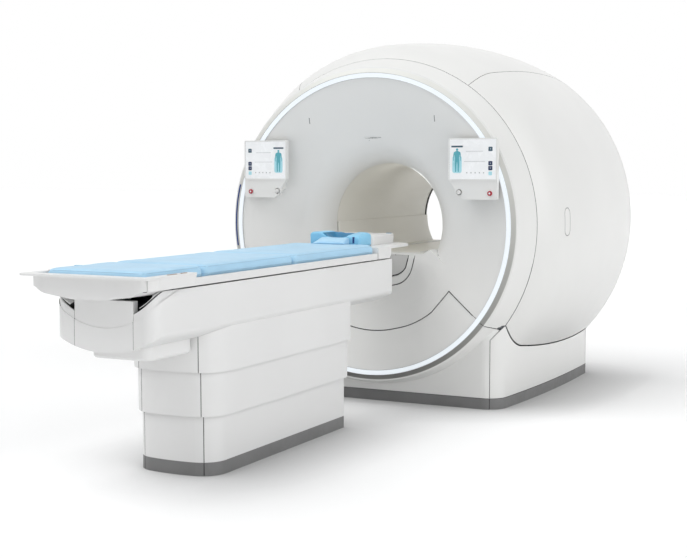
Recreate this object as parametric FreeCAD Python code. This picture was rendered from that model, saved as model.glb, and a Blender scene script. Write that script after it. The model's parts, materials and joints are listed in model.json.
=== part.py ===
import FreeCAD, Part
import math
import os

# Closed-bore imaging scanner with a fixed, height-adjustable patient table.
# Millimetres. X runs across the bore, +Y into the bore from the front, +Z up.
# While it is drawn, the bore axis is at x = 0 and the light ring's face at y = 0.
# Everything is shifted along Y on export, so that the middle of the whole
# footprint, table included, is the origin. The floor is z = 0.

# ---- driving sizes: gantry -------------------------------------------------
bore_radius = 350.0
ring_outer_radius = 850.0
ring_width = 24.0
bezel_width = 36.0
bezel_depth = 14.0
collar_flare = 54.0
collar_depth = 158.0
shoulder_rise = 98.0
shoulder_depth = 208.0
barrel_bulge = 53.0
gantry_length = 1720.0
rear_round = 80.0
cover_wall = 8.0
seam = 3.0
kick_height = 60.0
pedestal_half_width = 811.0
pedestal_front = 88.0
pedestal_corner = 112.0
pedestal_rear_corner = 80.0
side_bow_radius = 9940.0
top_seam_angle = 55.5
lower_seam_angle = -37.5
funnel_fillet = 200.0
funnel_crown = 5.0
marker_rise = 489.0
marker_length = 79.0
funnel_rim_y = 6.0
throat_depth = 297.0
liner_wall = 6.0
corner_seam_x = 703.0
turret_y = 900.0
turret_radius = 120.0
turret_height = 60.0

# ---- driving sizes: docking apron below the bore ---------------------------
lip_drop = 5.0
lip_end_rise = 27.0
lip_end_run = 44.0
apron_side_z = 772.0
apron_side_x = 460.0
dock_half_width = 178.0
dock_heel_drop = 297.0
dock_sole_drop = 318.0
dock_bezel_width = 42.0
dock_gap = 6.0
bridge_wall = 11.0
bridge_wing_rise = 4.0

# ---- driving sizes: steel frame --------------------------------------------
frame_height = 60.0
frame_width = 40.0
post_spread = 400.0
hoop_half_width = 25.0

# ---- driving sizes: magnet and coils ---------------------------------------
rf_coil_wall = 14.0
gradient_wall = 86.0
magnet_radius = 930.0
magnet_length = 1340.0
magnet_start = 230.0
coil_gap = 0.4
foot_width = 150.0
foot_spread = 560.0

# ---- driving sizes: table --------------------------------------------------
axis_to_deck = 160.0
deck_half_width = 265.0
deck_length = 2310.0
deck_head_gap = 240.0
deck_floor = 22.0
deck_side = 32.0
mattress_height = 56.0
housing_head_gap = 190.0
housing_length = 2220.0
housing_half_width = 250.0
housing_height = 202.0
housing_wall = 6.0
deck_clearance = 8.0
column_head_gap = 678.0
column_length = 1271.0
column_half_width = 208.0
tier_step = 17.0
lower_tier_height = 202.0
middle_tier_height = 194.0
tier_wall = 6.0
tier_overlap = 34.0

# ---- driving sizes: wall panels --------------------------------------------
panel_width = 280.0
panel_height = 330.0
panel_thickness = 30.0
panel_inner_x = 504.0
panel_base_rise = 151.0
control_box_height = 102.0
stop_x = 743.0
stop_rise = 34.0
stop_radius = 13.0
knob_x = 566.0
knob_rise = 39.0
knob_radius = 12.0
panel_front = -38.0
stop_proud = 8.0
stop_depth = 22.0
knob_proud = 9.0
knob_depth = 9.0
cap_bevel = 1.5
stem_radius = 4.5
pin_radius = 3.0
pin_seat = 3.0
cup_wall = 5.0

# ---- driving sizes: lifting point plugs ------------------------------------
pill_y = 400.0
pill_rise = 24.0
pill_height = 154.0
pill_width = 66.0

# ---- clearances ------------------------------------------------------------
seat_gap = 0.3
slide_gap = 0.4

# ---- derived places --------------------------------------------------------
ring_inner_radius = ring_outer_radius - ring_width
bezel_radius = ring_outer_radius + bezel_width
collar_y = bezel_depth + collar_depth
collar_radius = bezel_radius + collar_flare
shoulder_y = collar_y + shoulder_depth
shoulder_radius = collar_radius + shoulder_rise
barrel_radius = shoulder_radius + barrel_bulge
rear_y = gantry_length - rear_round
crest_y = shoulder_y + 0.61 * (rear_y - shoulder_y)
bore_height = collar_radius + kick_height + 10.0
throat_end = throat_depth + 6.0

deck_bottom = bore_height - axis_to_deck
deck_edge = deck_bottom + deck_side
mattress_top = deck_bottom + deck_floor + mattress_height
housing_top = deck_bottom - deck_clearance
housing_bottom = housing_top - housing_height
housing_head = -housing_head_gap
housing_foot = housing_head - housing_length
deck_head = -deck_head_gap
deck_foot = deck_head - deck_length
column_head = -column_head_gap
column_foot = column_head - column_length
lower_tier_top = kick_height + lower_tier_height
middle_tier_top = lower_tier_top + middle_tier_height

origin_shift = -(gantry_length + deck_foot) / 2.0


# ---- small helpers ---------------------------------------------------------
def vec(x, y, z):
    return FreeCAD.Vector(x, y, z)


def save(name, shape):
    """Write one node, shifted so that the whole footprint is centred."""
    placed = shape.copy()
    placed.translate(vec(0, origin_shift, 0))
    solids = placed.Solids
    body = solids[0] if len(solids) == 1 else Part.makeCompound(solids)
    body.exportStep(os.path.join("parts", name + ".step"))


def box(x0, x1, y0, y1, z0, z1):
    return Part.makeBox(x1 - x0, y1 - y0, z1 - z0, vec(x0, y0, z0))


def mirror_x(shape):
    return shape.mirror(vec(0, 0, 0), vec(1, 0, 0))


def line(a, b):
    return Part.makeLine(a, b)


def arc(a, b, c):
    return Part.Arc(a, b, c).toShape()


def cylinder(radius, length, base, direction):
    return Part.makeCylinder(radius, length, base, direction)


def tube(outer, inner, length, base, direction):
    return cylinder(outer, length, base, direction).cut(cylinder(inner, length, base, direction))


def bore_point(y, radius):
    """A point of a profile, at a radius straight above the bore axis."""
    return vec(0, y, bore_height + radius)


def bore_revolve(face, high=None, low=None):
    """Turn a profile about the bore axis, all round or from angle high to low."""
    axis_point = vec(0, 0, bore_height)
    axis = vec(0, 1, 0)
    if high is None:
        return face.revolve(axis_point, axis, 360)
    start = face.copy()
    start.rotate(axis_point, axis, 90.0 - high)
    return start.revolve(axis_point, axis, high - low)


def face_of(edges):
    return Part.Face(Part.Wire(edges))


def polygon_face(points):
    return Part.Face(Part.makePolygon(points + [points[0]]))


def prism(points, direction):
    return polygon_face(points).extrude(direction)


def rounded_rectangle(x0, x1, y0, y1, z, corner):
    """A rectangle in plan with four round corners, as a wire."""
    k = corner * (1.0 - math.sqrt(0.5))
    corners = [
        (vec(x1 - corner, y0, z), vec(x1 - k, y0 + k, z), vec(x1, y0 + corner, z)),
        (vec(x1, y1 - corner, z), vec(x1 - k, y1 - k, z), vec(x1 - corner, y1, z)),
        (vec(x0 + corner, y1, z), vec(x0 + k, y1 - k, z), vec(x0, y1 - corner, z)),
        (vec(x0, y0 + corner, z), vec(x0 + k, y0 + k, z), vec(x0 + corner, y0, z)),
    ]
    edges = []
    for index, (start, middle, end) in enumerate(corners):
        edges.append(arc(start, middle, end))
        following = corners[(index + 1) % 4][0]
        if end.distanceToPoint(following) > 1e-6:
            edges.append(line(end, following))
    return Part.Wire(edges)


def rounded_block(x0, x1, y0, y1, z0, z1, corner):
    wire = rounded_rectangle(x0, x1, y0, y1, z0, corner)
    return Part.Face(wire).extrude(vec(0, 0, z1 - z0))


# ---- gantry: surfaces ------------------------------------------------------
def barrel_edges(offset):
    """The cover's profile from the collar seam to the rear edge."""
    shoulder_top = bore_point(shoulder_y, shoulder_radius + offset)
    collar_end = bore_point(collar_y, collar_radius + offset)
    turn = math.radians(38.0)
    shoulder_bend = bore_point(collar_y + 0.42 * shoulder_depth,
                               collar_radius + math.sin(turn) * shoulder_rise + offset)
    crest = bore_point(crest_y, barrel_radius + offset)
    rear_drop = barrel_bulge * ((rear_y - crest_y) / (crest_y - shoulder_y)) ** 2
    rear_end = bore_point(rear_y, barrel_radius - rear_drop + offset)
    return arc(collar_end, shoulder_bend, shoulder_top), arc(shoulder_top, crest, rear_end)


def edge_end(edge):
    return edge.Vertexes[-1].Point


def edge_start(edge):
    return edge.Vertexes[0].Point


def solid_inside_covers(offset):
    """Everything inside the barrel's outer surface, moved by offset."""
    shoulder, crown = barrel_edges(offset)
    front_axis = bore_point(-1, 0)
    front_rim = bore_point(-1, ring_outer_radius + offset)
    bezel_start = bore_point(0, ring_outer_radius + offset)
    bezel_end = bore_point(bezel_depth, bezel_radius + offset)
    rear_axis = bore_point(rear_y, 0)
    edges = [
        line(front_axis, front_rim),
        line(front_rim, bezel_start),
        line(bezel_start, bezel_end),
        line(bezel_end, edge_start(shoulder)),
        shoulder,
        crown,
        line(edge_end(crown), rear_axis),
        line(rear_axis, front_axis),
    ]
    return bore_revolve(face_of(edges))


corner_lean = 5.37
corner_x = pedestal_half_width - side_bow_radius
side_centre_x = corner_x
side_centre_y = pedestal_front + pedestal_corner + (side_bow_radius - pedestal_corner) * math.sin(
    math.radians(corner_lean))
corner_centre_x = side_centre_x + (side_bow_radius - pedestal_corner) * math.cos(math.radians(corner_lean))
corner_centre_y = pedestal_front + pedestal_corner
pedestal_rear = rear_y + 0.5 * rear_round
rear_sine = (pedestal_rear - pedestal_rear_corner - side_centre_y) / (side_bow_radius - pedestal_rear_corner)
rear_lean = math.degrees(math.asin(rear_sine))
rear_centre_x = side_centre_x + (side_bow_radius - pedestal_rear_corner) * math.cos(math.radians(rear_lean))
rear_centre_y = pedestal_rear - pedestal_rear_corner


def polar(cx, cy, radius, degrees, z):
    turn = math.radians(degrees)
    return vec(cx + radius * math.cos(turn), cy + radius * math.sin(turn), z)


def footprint(inset, z):
    """The pedestal's plan outline: round front corners and slightly bowed sides."""
    front = pedestal_corner - inset
    side = side_bow_radius - inset
    rear = pedestal_rear_corner - inset
    right = [
        arc(polar(corner_centre_x, corner_centre_y, front, -90, z),
            polar(corner_centre_x, corner_centre_y, front, -45, z),
            polar(corner_centre_x, corner_centre_y, front, -corner_lean, z)),
        arc(polar(side_centre_x, side_centre_y, side, -corner_lean, z),
            polar(side_centre_x, side_centre_y, side, 0, z),
            polar(side_centre_x, side_centre_y, side, rear_lean, z)),
        arc(polar(rear_centre_x, rear_centre_y, rear, rear_lean, z),
            polar(rear_centre_x, rear_centre_y, rear, 45, z),
            polar(rear_centre_x, rear_centre_y, rear, 90, z)),
    ]
    front_y = pedestal_front + inset
    rear_line_y = pedestal_rear - inset
    rear_line = line(vec(rear_centre_x, rear_line_y, z), vec(-rear_centre_x, rear_line_y, z))
    front_line = line(vec(-corner_centre_x, front_y, z), vec(corner_centre_x, front_y, z))
    left = [mirror_x(edge) for edge in reversed(right)]
    ordered = Part.__sortEdges__(right + [rear_line] + left + [front_line])
    return Part.Wire(ordered)


def pedestal_prism(inset, z0, z1):
    return Part.Face(footprint(inset, z0)).extrude(vec(0, 0, z1 - z0))


def pedestal_wall(inset, wall, z0, z1):
    return pedestal_prism(inset, z0, z1).cut(pedestal_prism(inset + wall, z0, z1))


def funnel_face(wall, throat_end):
    """Profile of the front funnel: a crowned cone and a round turn into the bore."""
    rim_y = funnel_rim_y
    rim_radius = ring_inner_radius - seam
    fillet_y, fillet_radius, lean = funnel_fillet_start(rim_y, rim_radius)
    middle = math.radians(lean / 2.0)
    turn_y = throat_depth - funnel_fillet * math.sin(middle)
    turn_radius = bore_radius + funnel_fillet * (1.0 - math.cos(middle))
    half_y = (rim_y + fillet_y) / 2.0 - funnel_crown
    half_radius = (rim_radius + fillet_radius) / 2.0

    def edges_at(shift_y, grow):
        start = bore_point(rim_y + shift_y, rim_radius)
        half = bore_point(half_y + shift_y, half_radius)
        join = bore_point(fillet_y + shift_y * math.sin(math.radians(lean)),
                          fillet_radius + grow * math.cos(math.radians(lean)))
        bend = bore_point(turn_y + grow * math.sin(middle), turn_radius + grow * math.cos(middle))
        end = bore_point(throat_depth, bore_radius + grow)
        tail = bore_point(throat_end, bore_radius + grow)
        return [arc(start, half, join), arc(join, bend, end), line(end, tail)]

    front = edges_at(0.0, 0.0)
    back = edges_at(wall, wall)
    rim = line(edge_start(front[0]), edge_start(back[0]))
    tail = line(edge_end(front[2]), edge_end(back[2]))
    return face_of(Part.__sortEdges__(front + back + [rim, tail]))


def funnel_fillet_start(rim_y, rim_radius):
    """Where the straight cone is tangent to the throat's round turn, and its lean."""
    lean = 70.0
    for _ in range(30):
        turn = math.radians(lean)
        fillet_y = throat_depth - funnel_fillet * math.sin(turn)
        fillet_radius = bore_radius + funnel_fillet * (1.0 - math.cos(turn))
        lean = math.degrees(math.atan2(rim_radius - fillet_radius, fillet_y - rim_y))
    return fillet_y, fillet_radius, lean


def fascia_region(grow):
    """Front region inside the collar seam and between the two corner seams."""
    depth = gantry_length
    radius = collar_radius + grow
    half = corner_seam_x + grow
    drum = cylinder(radius, depth, vec(0, -50, bore_height), vec(0, 1, 0))
    slab = box(-half, half, -50, depth - 50, 0, bore_height - radius * 0.5)
    return drum.fuse(slab)


def wedge_below(angle, reach):
    """The region below two planes through the bore axis at a downward angle."""
    turn = math.radians(-angle)
    side = vec(reach * math.cos(turn), -50, bore_height - reach * math.sin(turn))
    points = [
        vec(0, -50, bore_height),
        side,
        vec(side.x, -50, -500),
        vec(-side.x, -50, -500),
        vec(-side.x, -50, side.z),
    ]
    return prism(points, vec(0, gantry_length + 200, 0))


# ---- gantry: covers --------------------------------------------------------
def collar_face():
    """The ring of cover between the light ring and the collar seam."""
    points = [
        bore_point(0, ring_outer_radius + seam),
        bore_point(bezel_depth, bezel_radius),
        bore_point(collar_y - seam / 2.0, collar_radius),
        bore_point(collar_y - seam / 2.0, collar_radius - cover_wall),
        bore_point(bezel_depth + cover_wall, bezel_radius - cover_wall),
        bore_point(cover_wall, ring_outer_radius + seam),
    ]
    return polygon_face(points)


def make_collar():
    span = math.degrees(seam / collar_radius) / 2.0
    ring = bore_revolve(collar_face(), 180.0 - lower_seam_angle - span, lower_seam_angle + span)
    return ring.cut(pedestal_prism(0, 0, bore_height))


def make_lower_fascia():
    """Lower front cover: the collar's foot and the wall down to the kick."""
    span = math.degrees(seam / collar_radius) / 2.0
    ring = bore_revolve(collar_face(), lower_seam_angle - span, -180.0 - lower_seam_angle + span)
    wall = pedestal_wall(0, cover_wall, kick_height + seam, bore_height * 0.62)
    wall = wall.common(fascia_region(-seam / 2.0))
    wall = wall.common(wedge_below(lower_seam_angle - span, 2.0 * barrel_radius))
    wall = wall.common(box(-barrel_radius, barrel_radius, 0, corner_centre_y, 0, bore_height))
    wall = wall.cut(solid_inside_covers(-cover_wall / 2.0))
    hidden = pedestal_prism(cover_wall, kick_height + seam, bore_height)
    ring = ring.cut(hidden)
    ring = ring.cut(box(-barrel_radius, barrel_radius, -50, gantry_length, -200, kick_height + seam))
    return ring.fuse(wall)


def make_light_ring():
    points = [
        bore_point(-3, ring_inner_radius),
        bore_point(-3, ring_outer_radius),
        bore_point(9, ring_outer_radius),
        bore_point(9, ring_inner_radius),
    ]
    return bore_revolve(polygon_face(points))


def make_ring_channel():
    """Aluminium channel that holds the light ring and its lamps."""
    wall = 2.4
    lip = 5.0
    depth = 34.0
    low = ring_inner_radius - seam + seat_gap
    high = ring_outer_radius + seam - seat_gap
    points = [
        bore_point(2, low),
        bore_point(2, low + wall),
        bore_point(9, low + wall),
        bore_point(9, ring_inner_radius + lip),
        bore_point(depth - lip, ring_inner_radius + lip),
        bore_point(depth - lip, ring_outer_radius - lip),
        bore_point(9, ring_outer_radius - lip),
        bore_point(9, high - wall),
        bore_point(2, high - wall),
        bore_point(2, high),
        bore_point(depth, high),
        bore_point(depth, low),
    ]
    return bore_revolve(polygon_face(points)).cut(solid_funnel_back())


def solid_funnel_back():
    """The space that the funnel's wall fills, for pieces that stand behind it."""
    return bore_revolve(funnel_face(cover_wall + seat_gap, throat_end))


def make_barrel_cover(high, low):
    """Part of the barrel's shell between two angles, behind the collar seam."""
    span = math.degrees(seam / barrel_radius) / 2.0
    shell = band_solid(0.0, cover_wall, high - span, low + span)
    return shell.cut(box(-2000, 2000, collar_y - 60, collar_y + seam / 2.0, -500, 3000))


def make_side_cover():
    cover = make_barrel_cover(top_seam_angle, -60.0)
    cover = cover.cut(pedestal_prism(-seam, 0, bore_height - bore_radius))
    return cover.cut(pill_cutter(seam / 2.0))


def pill_cutter(grow):
    """A stadium-shaped prism through the right side cover."""
    radius = pill_width / 2.0 + grow
    centre_z = bore_height + pill_rise
    straight = pill_height - pill_width
    x0 = shoulder_radius - 60.0
    body = box(x0, x0 + 200, pill_y - radius, pill_y + radius,
               centre_z - straight / 2.0, centre_z + straight / 2.0)
    for end in (-1, 1):
        base = vec(x0, pill_y, centre_z + end * straight / 2.0)
        body = body.fuse(cylinder(radius, 200, base, vec(1, 0, 0)))
    return body.removeSplitter()


def barrel_band(offset, depth):
    """The closed edge loop of a band under the barrel's surface."""
    shoulder_out, crown_out = barrel_edges(offset)
    shoulder_in, crown_in = barrel_edges(offset - depth)
    return [
        shoulder_out,
        crown_out,
        line(edge_end(crown_out), edge_end(crown_in)),
        crown_in,
        shoulder_in,
        line(edge_start(shoulder_in), edge_start(shoulder_out)),
    ]


def make_lower_side_panel():
    """Side wall of the pedestal, from the corner seam to the rear corner."""
    wall = pedestal_wall(0, cover_wall, kick_height + seam, bore_height)
    wall = wall.cut(fascia_region(seam / 2.0).common(box(-3000, 3000, -60, corner_centre_y, 0, 3000)))
    wall = wall.cut(solid_inside_covers(seam))
    below = box(0, 2 * barrel_radius, 0, rear_centre_y, 0, bore_height - 0.2 * bore_radius)
    wall = wall.common(below)
    return max(wall.Solids, key=lambda solid: solid.Volume)


def rear_edges(offset):
    """Rear cover's profile: round outer edge, flat face and flare into the bore."""
    _, crown = barrel_edges(offset)
    start = edge_end(crown)
    outer_radius = start.z - bore_height
    face_y = gantry_length + (offset if offset < 0 else 0.0)
    round_in = rear_round + offset * 0.3
    k = 1.0 - math.sqrt(0.5)
    bend = bore_point(face_y - (face_y - rear_y) * k, outer_radius - round_in * k)
    turn_end = bore_point(face_y, outer_radius - round_in)
    flare_start = bore_point(face_y, bore_radius + rear_round - offset)
    flare_bend = bore_point(face_y - (face_y - rear_y) * k, bore_radius - offset + rear_round * k)
    flare_end = bore_point(rear_y, bore_radius - offset)
    return [
        arc(start, bend, turn_end),
        line(turn_end, flare_start),
        arc(flare_start, flare_bend, flare_end),
    ]


def make_rear_cover():
    outer = rear_edges(0.0)
    inner = rear_edges(-cover_wall)
    edges = outer + inner
    edges.append(line(edge_start(outer[0]), edge_start(inner[0])))
    edges.append(line(edge_end(outer[2]), edge_end(inner[2])))
    shell = bore_revolve(face_of(Part.__sortEdges__(edges)))
    shell.translate(vec(0, seam / 2.0, 0))
    shell = shell.common(box(-3000, 3000, 0, gantry_length, kick_height + seam, 3000))
    return shell.cut(pedestal_prism(-seam, 0, bore_height - bore_radius))


def make_rear_panel():
    """Rear wall of the pedestal, between its rear corners."""
    wall = pedestal_wall(0, cover_wall, kick_height + seam, bore_height * 0.5)
    wall = wall.common(box(-3000, 3000, rear_centre_y + seam, 3000, 0, bore_height))
    return wall


def make_pill_plug():
    """Plug that closes the lifting point in a side cover, with a rim behind it."""
    skin = band_solid(0.0, cover_wall, 30.0, -30.0).common(pill_cutter(-seam / 2.0))
    stem = band_solid(-0.5 * cover_wall, cover_wall, 20.0, -20.0).common(pill_cutter(-12.0))
    rim = band_solid(-cover_wall - seat_gap, 6.0, 30.0, -30.0).common(pill_cutter(14.0))
    return skin.fuse([stem, rim])


def band_solid(offset, depth, high, low):
    """Part of a shell that lies at a given offset under the barrel's surface."""
    face = face_of(Part.__sortEdges__(barrel_band(offset, depth)))
    return bore_revolve(face, high, low)


# ---- gantry: docking apron below the bore ----------------------------------
def join_radius():
    return funnel_fillet_start(funnel_rim_y, ring_inner_radius - seam)[1]


def cone_y(radius):
    """Depth of the funnel's straight cone, carried on inward past the throat."""
    fillet_y, fillet_radius, lean = funnel_fillet_start(funnel_rim_y, ring_inner_radius - seam)
    return fillet_y + (fillet_radius - radius) / math.tan(math.radians(lean))


def cone_layer(shift, wall):
    """A layer of the inner cone, from the join down to a small radius."""
    outer = join_radius()
    inner = 60.0
    points = [
        bore_point(cone_y(outer) + shift, outer),
        bore_point(cone_y(inner) + shift, inner),
        bore_point(cone_y(inner) + shift + wall, inner),
        bore_point(cone_y(outer) + shift + wall, outer),
    ]
    return bore_revolve(polygon_face(points))


def cone_front():
    """Everything in front of the inner cone."""
    outer = join_radius() + 1.0
    points = [
        bore_point(-60, 0),
        bore_point(-60, outer),
        bore_point(cone_y(outer), outer),
        bore_point(cone_y(0.0), 0),
    ]
    return bore_revolve(polygon_face(points))


def throat_inside(grow):
    """Everything inside the funnel's round turn, moved out by grow."""
    fillet_y, fillet_radius, lean = funnel_fillet_start(funnel_rim_y, ring_inner_radius - seam)
    middle = math.radians(lean / 2.0)
    turn = math.radians(lean)
    join = bore_point(fillet_y + grow * math.sin(turn), fillet_radius + grow * math.cos(turn))
    bend = bore_point(throat_depth - (funnel_fillet - grow) * math.sin(middle),
                      bore_radius + funnel_fillet - (funnel_fillet - grow) * math.cos(middle))
    end = bore_point(throat_depth, bore_radius + grow)
    tail = bore_point(throat_end, bore_radius + grow)
    edges = [
        arc(join, bend, end),
        line(end, tail),
        line(tail, bore_point(throat_end, 0)),
        line(bore_point(throat_end, 0), bore_point(join.y, 0)),
        line(bore_point(join.y, 0), join),
    ]
    return bore_revolve(face_of(edges))


def apron_outline(y, inset, widen):
    """Section of the docking apron: flat lip, raised ends and sloping sides."""
    lip_z = deck_bottom - lip_drop - inset
    lip_end = deck_half_width + 7.0 + widen - 0.4 * inset
    ridge_x = lip_end + lip_end_run
    foot_x = apron_side_x + widen - inset
    right = [
        vec(lip_end, y, lip_z),
        vec(ridge_x, y, lip_z + lip_end_rise),
        vec(foot_x, y, apron_side_z - inset),
        vec(foot_x, y, bore_height - 2.0 * bore_radius),
    ]
    left = [mirror_x(Part.Vertex(point)).Point for point in reversed(right)]
    return Part.makePolygon(right + left + [right[0]])


def apron_region(inset):
    """The apron as a solid hill that widens towards the bore."""
    near = apron_outline(cone_y(join_radius()) - 60.0, inset, -16.0)
    far = apron_outline(throat_end, inset, 26.0)
    return Part.makeLoft([near, far], True, True)


def dock_outline(grow):
    """The U-shaped docking field under the bore, swept along the bore."""
    top = bore_height - bore_radius * 0.5
    half = dock_half_width + grow
    waist = vec(half - 12, -60, bore_height - 0.7 * bore_radius)
    heel = vec(half - 84, -60, bore_height - dock_heel_drop - grow)
    sole = vec(0, -60, bore_height - dock_sole_drop - grow)
    cheek = vec(half - 36, -60, bore_height - dock_heel_drop + 21.0 - 0.6 * grow)
    top_right = vec(half, -60, top)

    def other(point):
        return vec(-point.x, point.y, point.z)

    edges = [
        line(top_right, waist),
        arc(waist, cheek, heel),
        arc(heel, sole, other(heel)),
        arc(other(heel), other(cheek), other(waist)),
        line(other(waist), other(top_right)),
        line(other(top_right), top_right),
    ]
    return face_of(edges).extrude(vec(0, 400, 0))


def chevron_prism(drop):
    """The lower funnel panel's outline, swept along the bore."""
    right_rim = chevron_point(720, 545, drop)
    peak = chevron_point(468, 359, 1.3 * drop)
    slope_end = chevron_point(365, 481, 1.3 * drop)
    bend = chevron_point(262, 546, drop)
    flat_start = chevron_point(150, 583, drop)
    bottom = chevron_point(0, 603, drop)
    floor_right = chevron_point(720, 1000, 0.0)

    def other(point):
        return vec(-point.x, point.y, point.z)

    edges = [
        line(right_rim, peak),
        line(peak, slope_end),
        arc(slope_end, bend, flat_start),
        arc(flat_start, bottom, other(flat_start)),
        arc(other(flat_start), other(bend), other(slope_end)),
        line(other(slope_end), other(peak)),
        line(other(peak), other(right_rim)),
        line(other(right_rim), other(floor_right)),
        line(other(floor_right), floor_right),
        line(floor_right, right_rim),
    ]
    return face_of(edges).extrude(vec(0, 400, 0))


def chevron_point(x, below_axis, drop):
    """A corner of the lower panel, given for a ring of 850 and scaled to this one."""
    scale = ring_outer_radius / 850.0
    return vec(x * scale, -60, bore_height - below_axis * scale - drop)


def largest(shape):
    return max(shape.Solids, key=lambda solid: solid.Volume)


def make_front_funnel():
    """The front funnel, with the docking apron let into it below the bore."""
    region = apron_region(0.0)
    core = cylinder(join_radius(), 600, vec(0, -60, bore_height), vec(0, 1, 0))
    shell = bore_revolve(funnel_face(cover_wall, throat_end))
    shell = shell.cut(chevron_prism(-seam / 2.0)).cut(region.common(core))
    plate = cone_layer(0.0, cover_wall).common(region).cut(dock_outline(dock_bezel_width))
    walls = region.cut(apron_region(cover_wall)).common(throat_inside(0.5 * cover_wall))
    walls = walls.cut(cone_front())
    body = shell.fuse([plate, walls])
    recess = bore_revolve(funnel_face(cover_wall, throat_end)).translated(vec(0, 3.0 - cover_wall, 0))
    return largest(body.cut(marker_slot().common(recess)))


def marker_slot():
    """Outline of the positioning light's slot, high on the funnel."""
    z = bore_height + marker_rise
    return box(-marker_length + 11.0, 11.0, -60, 300, z, z + 10.0)


def make_lower_funnel_panel():
    """Lower panel of the front, with a flange that laps behind the funnel."""
    shell = bore_revolve(funnel_face(cover_wall, throat_end))
    panel = shell.common(chevron_prism(seam / 2.0))
    behind = shell.translated(vec(0, cover_wall + 3.0, 0))
    bridge = shell.translated(vec(0, 0.6 * cover_wall, 0))
    strip = chevron_prism(seam / 2.0).cut(chevron_prism(20.0))
    lap = chevron_prism(-14.0).cut(chevron_prism(20.0))
    clear = bore_revolve(ring_space_face())
    core = cylinder(join_radius() + 30.0, 600, vec(0, -60, bore_height), vec(0, 1, 0))
    lap = lap.common(behind).cut(core)
    return largest(panel.fuse([bridge.common(strip), lap]).cut(clear))


def ring_space_face():
    """Section of the space that the light ring's channel takes."""
    low = ring_inner_radius - seam
    points = [
        bore_point(-20, low),
        bore_point(-20, ring_outer_radius + 20),
        bore_point(40, ring_outer_radius + 20),
        bore_point(40, low - 4.0),
        bore_point(funnel_rim_y + cover_wall + 0.5, low - 4.0),
        bore_point(funnel_rim_y + cover_wall + 0.5, low),
    ]
    return polygon_face(points)


def make_dock_bezel():
    """U-shaped bezel round the docking cover, with a flange behind the funnel."""
    band = dock_outline(dock_bezel_width - seam).cut(dock_outline(0.0))
    neck = dock_outline(dock_bezel_width - seam).cut(dock_outline(dock_bezel_width - 16.0))
    flange = dock_outline(dock_bezel_width + 9.0).cut(dock_outline(dock_bezel_width - 16.0))
    face = cone_layer(0.0, cover_wall).common(band)
    neck = cone_layer(0.0, cover_wall + 3.0).common(neck)
    flange = cone_layer(cover_wall + 2.0, 4.0).common(flange)
    inner_lap = cone_layer(cover_wall - 1.0, 6.0).common(dock_outline(8.0).cut(dock_outline(1.0 - dock_gap)))
    return largest(face.fuse([neck, flange, inner_lap]))


def make_dock_cover():
    """Cover that fills the docking field, set back behind a dark gap."""
    plate = cone_layer(3.0, cover_wall + 2.0).common(dock_outline(-dock_gap))
    foot = cone_layer(cover_wall + 5.0 + seat_gap, 5.0).common(dock_outline(-seat_gap))
    return largest(plate.fuse(foot))


# ---- gantry: bore ----------------------------------------------------------
def make_bore_liner():
    y0 = throat_end + seam
    length = rear_y - seam / 2.0 - y0
    return tube(bore_radius + liner_wall, bore_radius, length, vec(0, y0, bore_height), vec(0, 1, 0))


def make_bridge():
    """Floor of the bore that carries the tabletop, with side wings and two ribs."""
    y0 = throat_end + seam
    length = rear_y - seam - y0
    along = vec(0, 1, 0)
    outer = bore_radius - seat_gap
    top = deck_bottom - lip_drop - 1.0
    low = top - bridge_wall
    drum = cylinder(outer, length, vec(0, y0, bore_height), along)
    wings = tube(outer, outer - bridge_wall, length, vec(0, y0, bore_height), along)
    wings = wings.common(box(-outer, outer, y0, y0 + length, low, bore_height + bridge_wing_rise))
    floor = drum.common(box(-outer, outer, y0, y0 + length, low, top))
    ribs = []
    for side in (-1, 1):
        x = side * 0.45 * bore_radius
        rib = box(x - 5, x + 5, y0 + 20, y0 + length - 20, bore_height - outer, low + 1.0)
        ribs.append(rib.common(drum))
    body = floor.fuse([wings] + ribs)
    for side in (-1, 1):
        body = body.cut(slide_strip(side, seat_gap, -seat_gap))
    return body


def slide_strip(side, grow, sink):
    x = side * 200.0
    y0 = throat_end + seam + 20.0 - grow
    y1 = rear_y - seam - 20.0 + grow
    top = deck_bottom - lip_drop - 1.0
    return rounded_block(x - 20 - grow, x + 20 + grow, y0, y1, top - 3.0 + sink, top + 2.5, 6.0 + grow)


# ---- gantry: magnet, coils and steelwork -----------------------------------
body_coil_radius = bore_radius + liner_wall + coil_gap
gradient_radius = body_coil_radius + rf_coil_wall + coil_gap
magnet_inner = gradient_radius + gradient_wall + coil_gap
magnet_end = magnet_start + magnet_length


def make_body_coil():
    """Thin transmit coil: a tube with eight long windows between its rungs."""
    y0 = magnet_start + 90.0
    length = magnet_end - 70.0 - y0
    base = vec(0, y0, bore_height)
    body = tube(body_coil_radius + rf_coil_wall, body_coil_radius, length, base, vec(0, 1, 0))
    for index in range(8):
        window = box(-80, 80, y0 + 0.2 * length, y0 + 0.8 * length,
                     bore_height + body_coil_radius - 40, bore_height + body_coil_radius + 40)
        window.rotate(vec(0, 0, bore_height), vec(0, 1, 0), 22.5 + 45.0 * index)
        body = body.cut(window)
    return body


def make_gradient_coil():
    base = vec(0, magnet_start + 20.0, bore_height)
    outer = gradient_radius + gradient_wall
    return tube(outer, gradient_radius, magnet_length - 40.0, base, vec(0, 1, 0))


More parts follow.
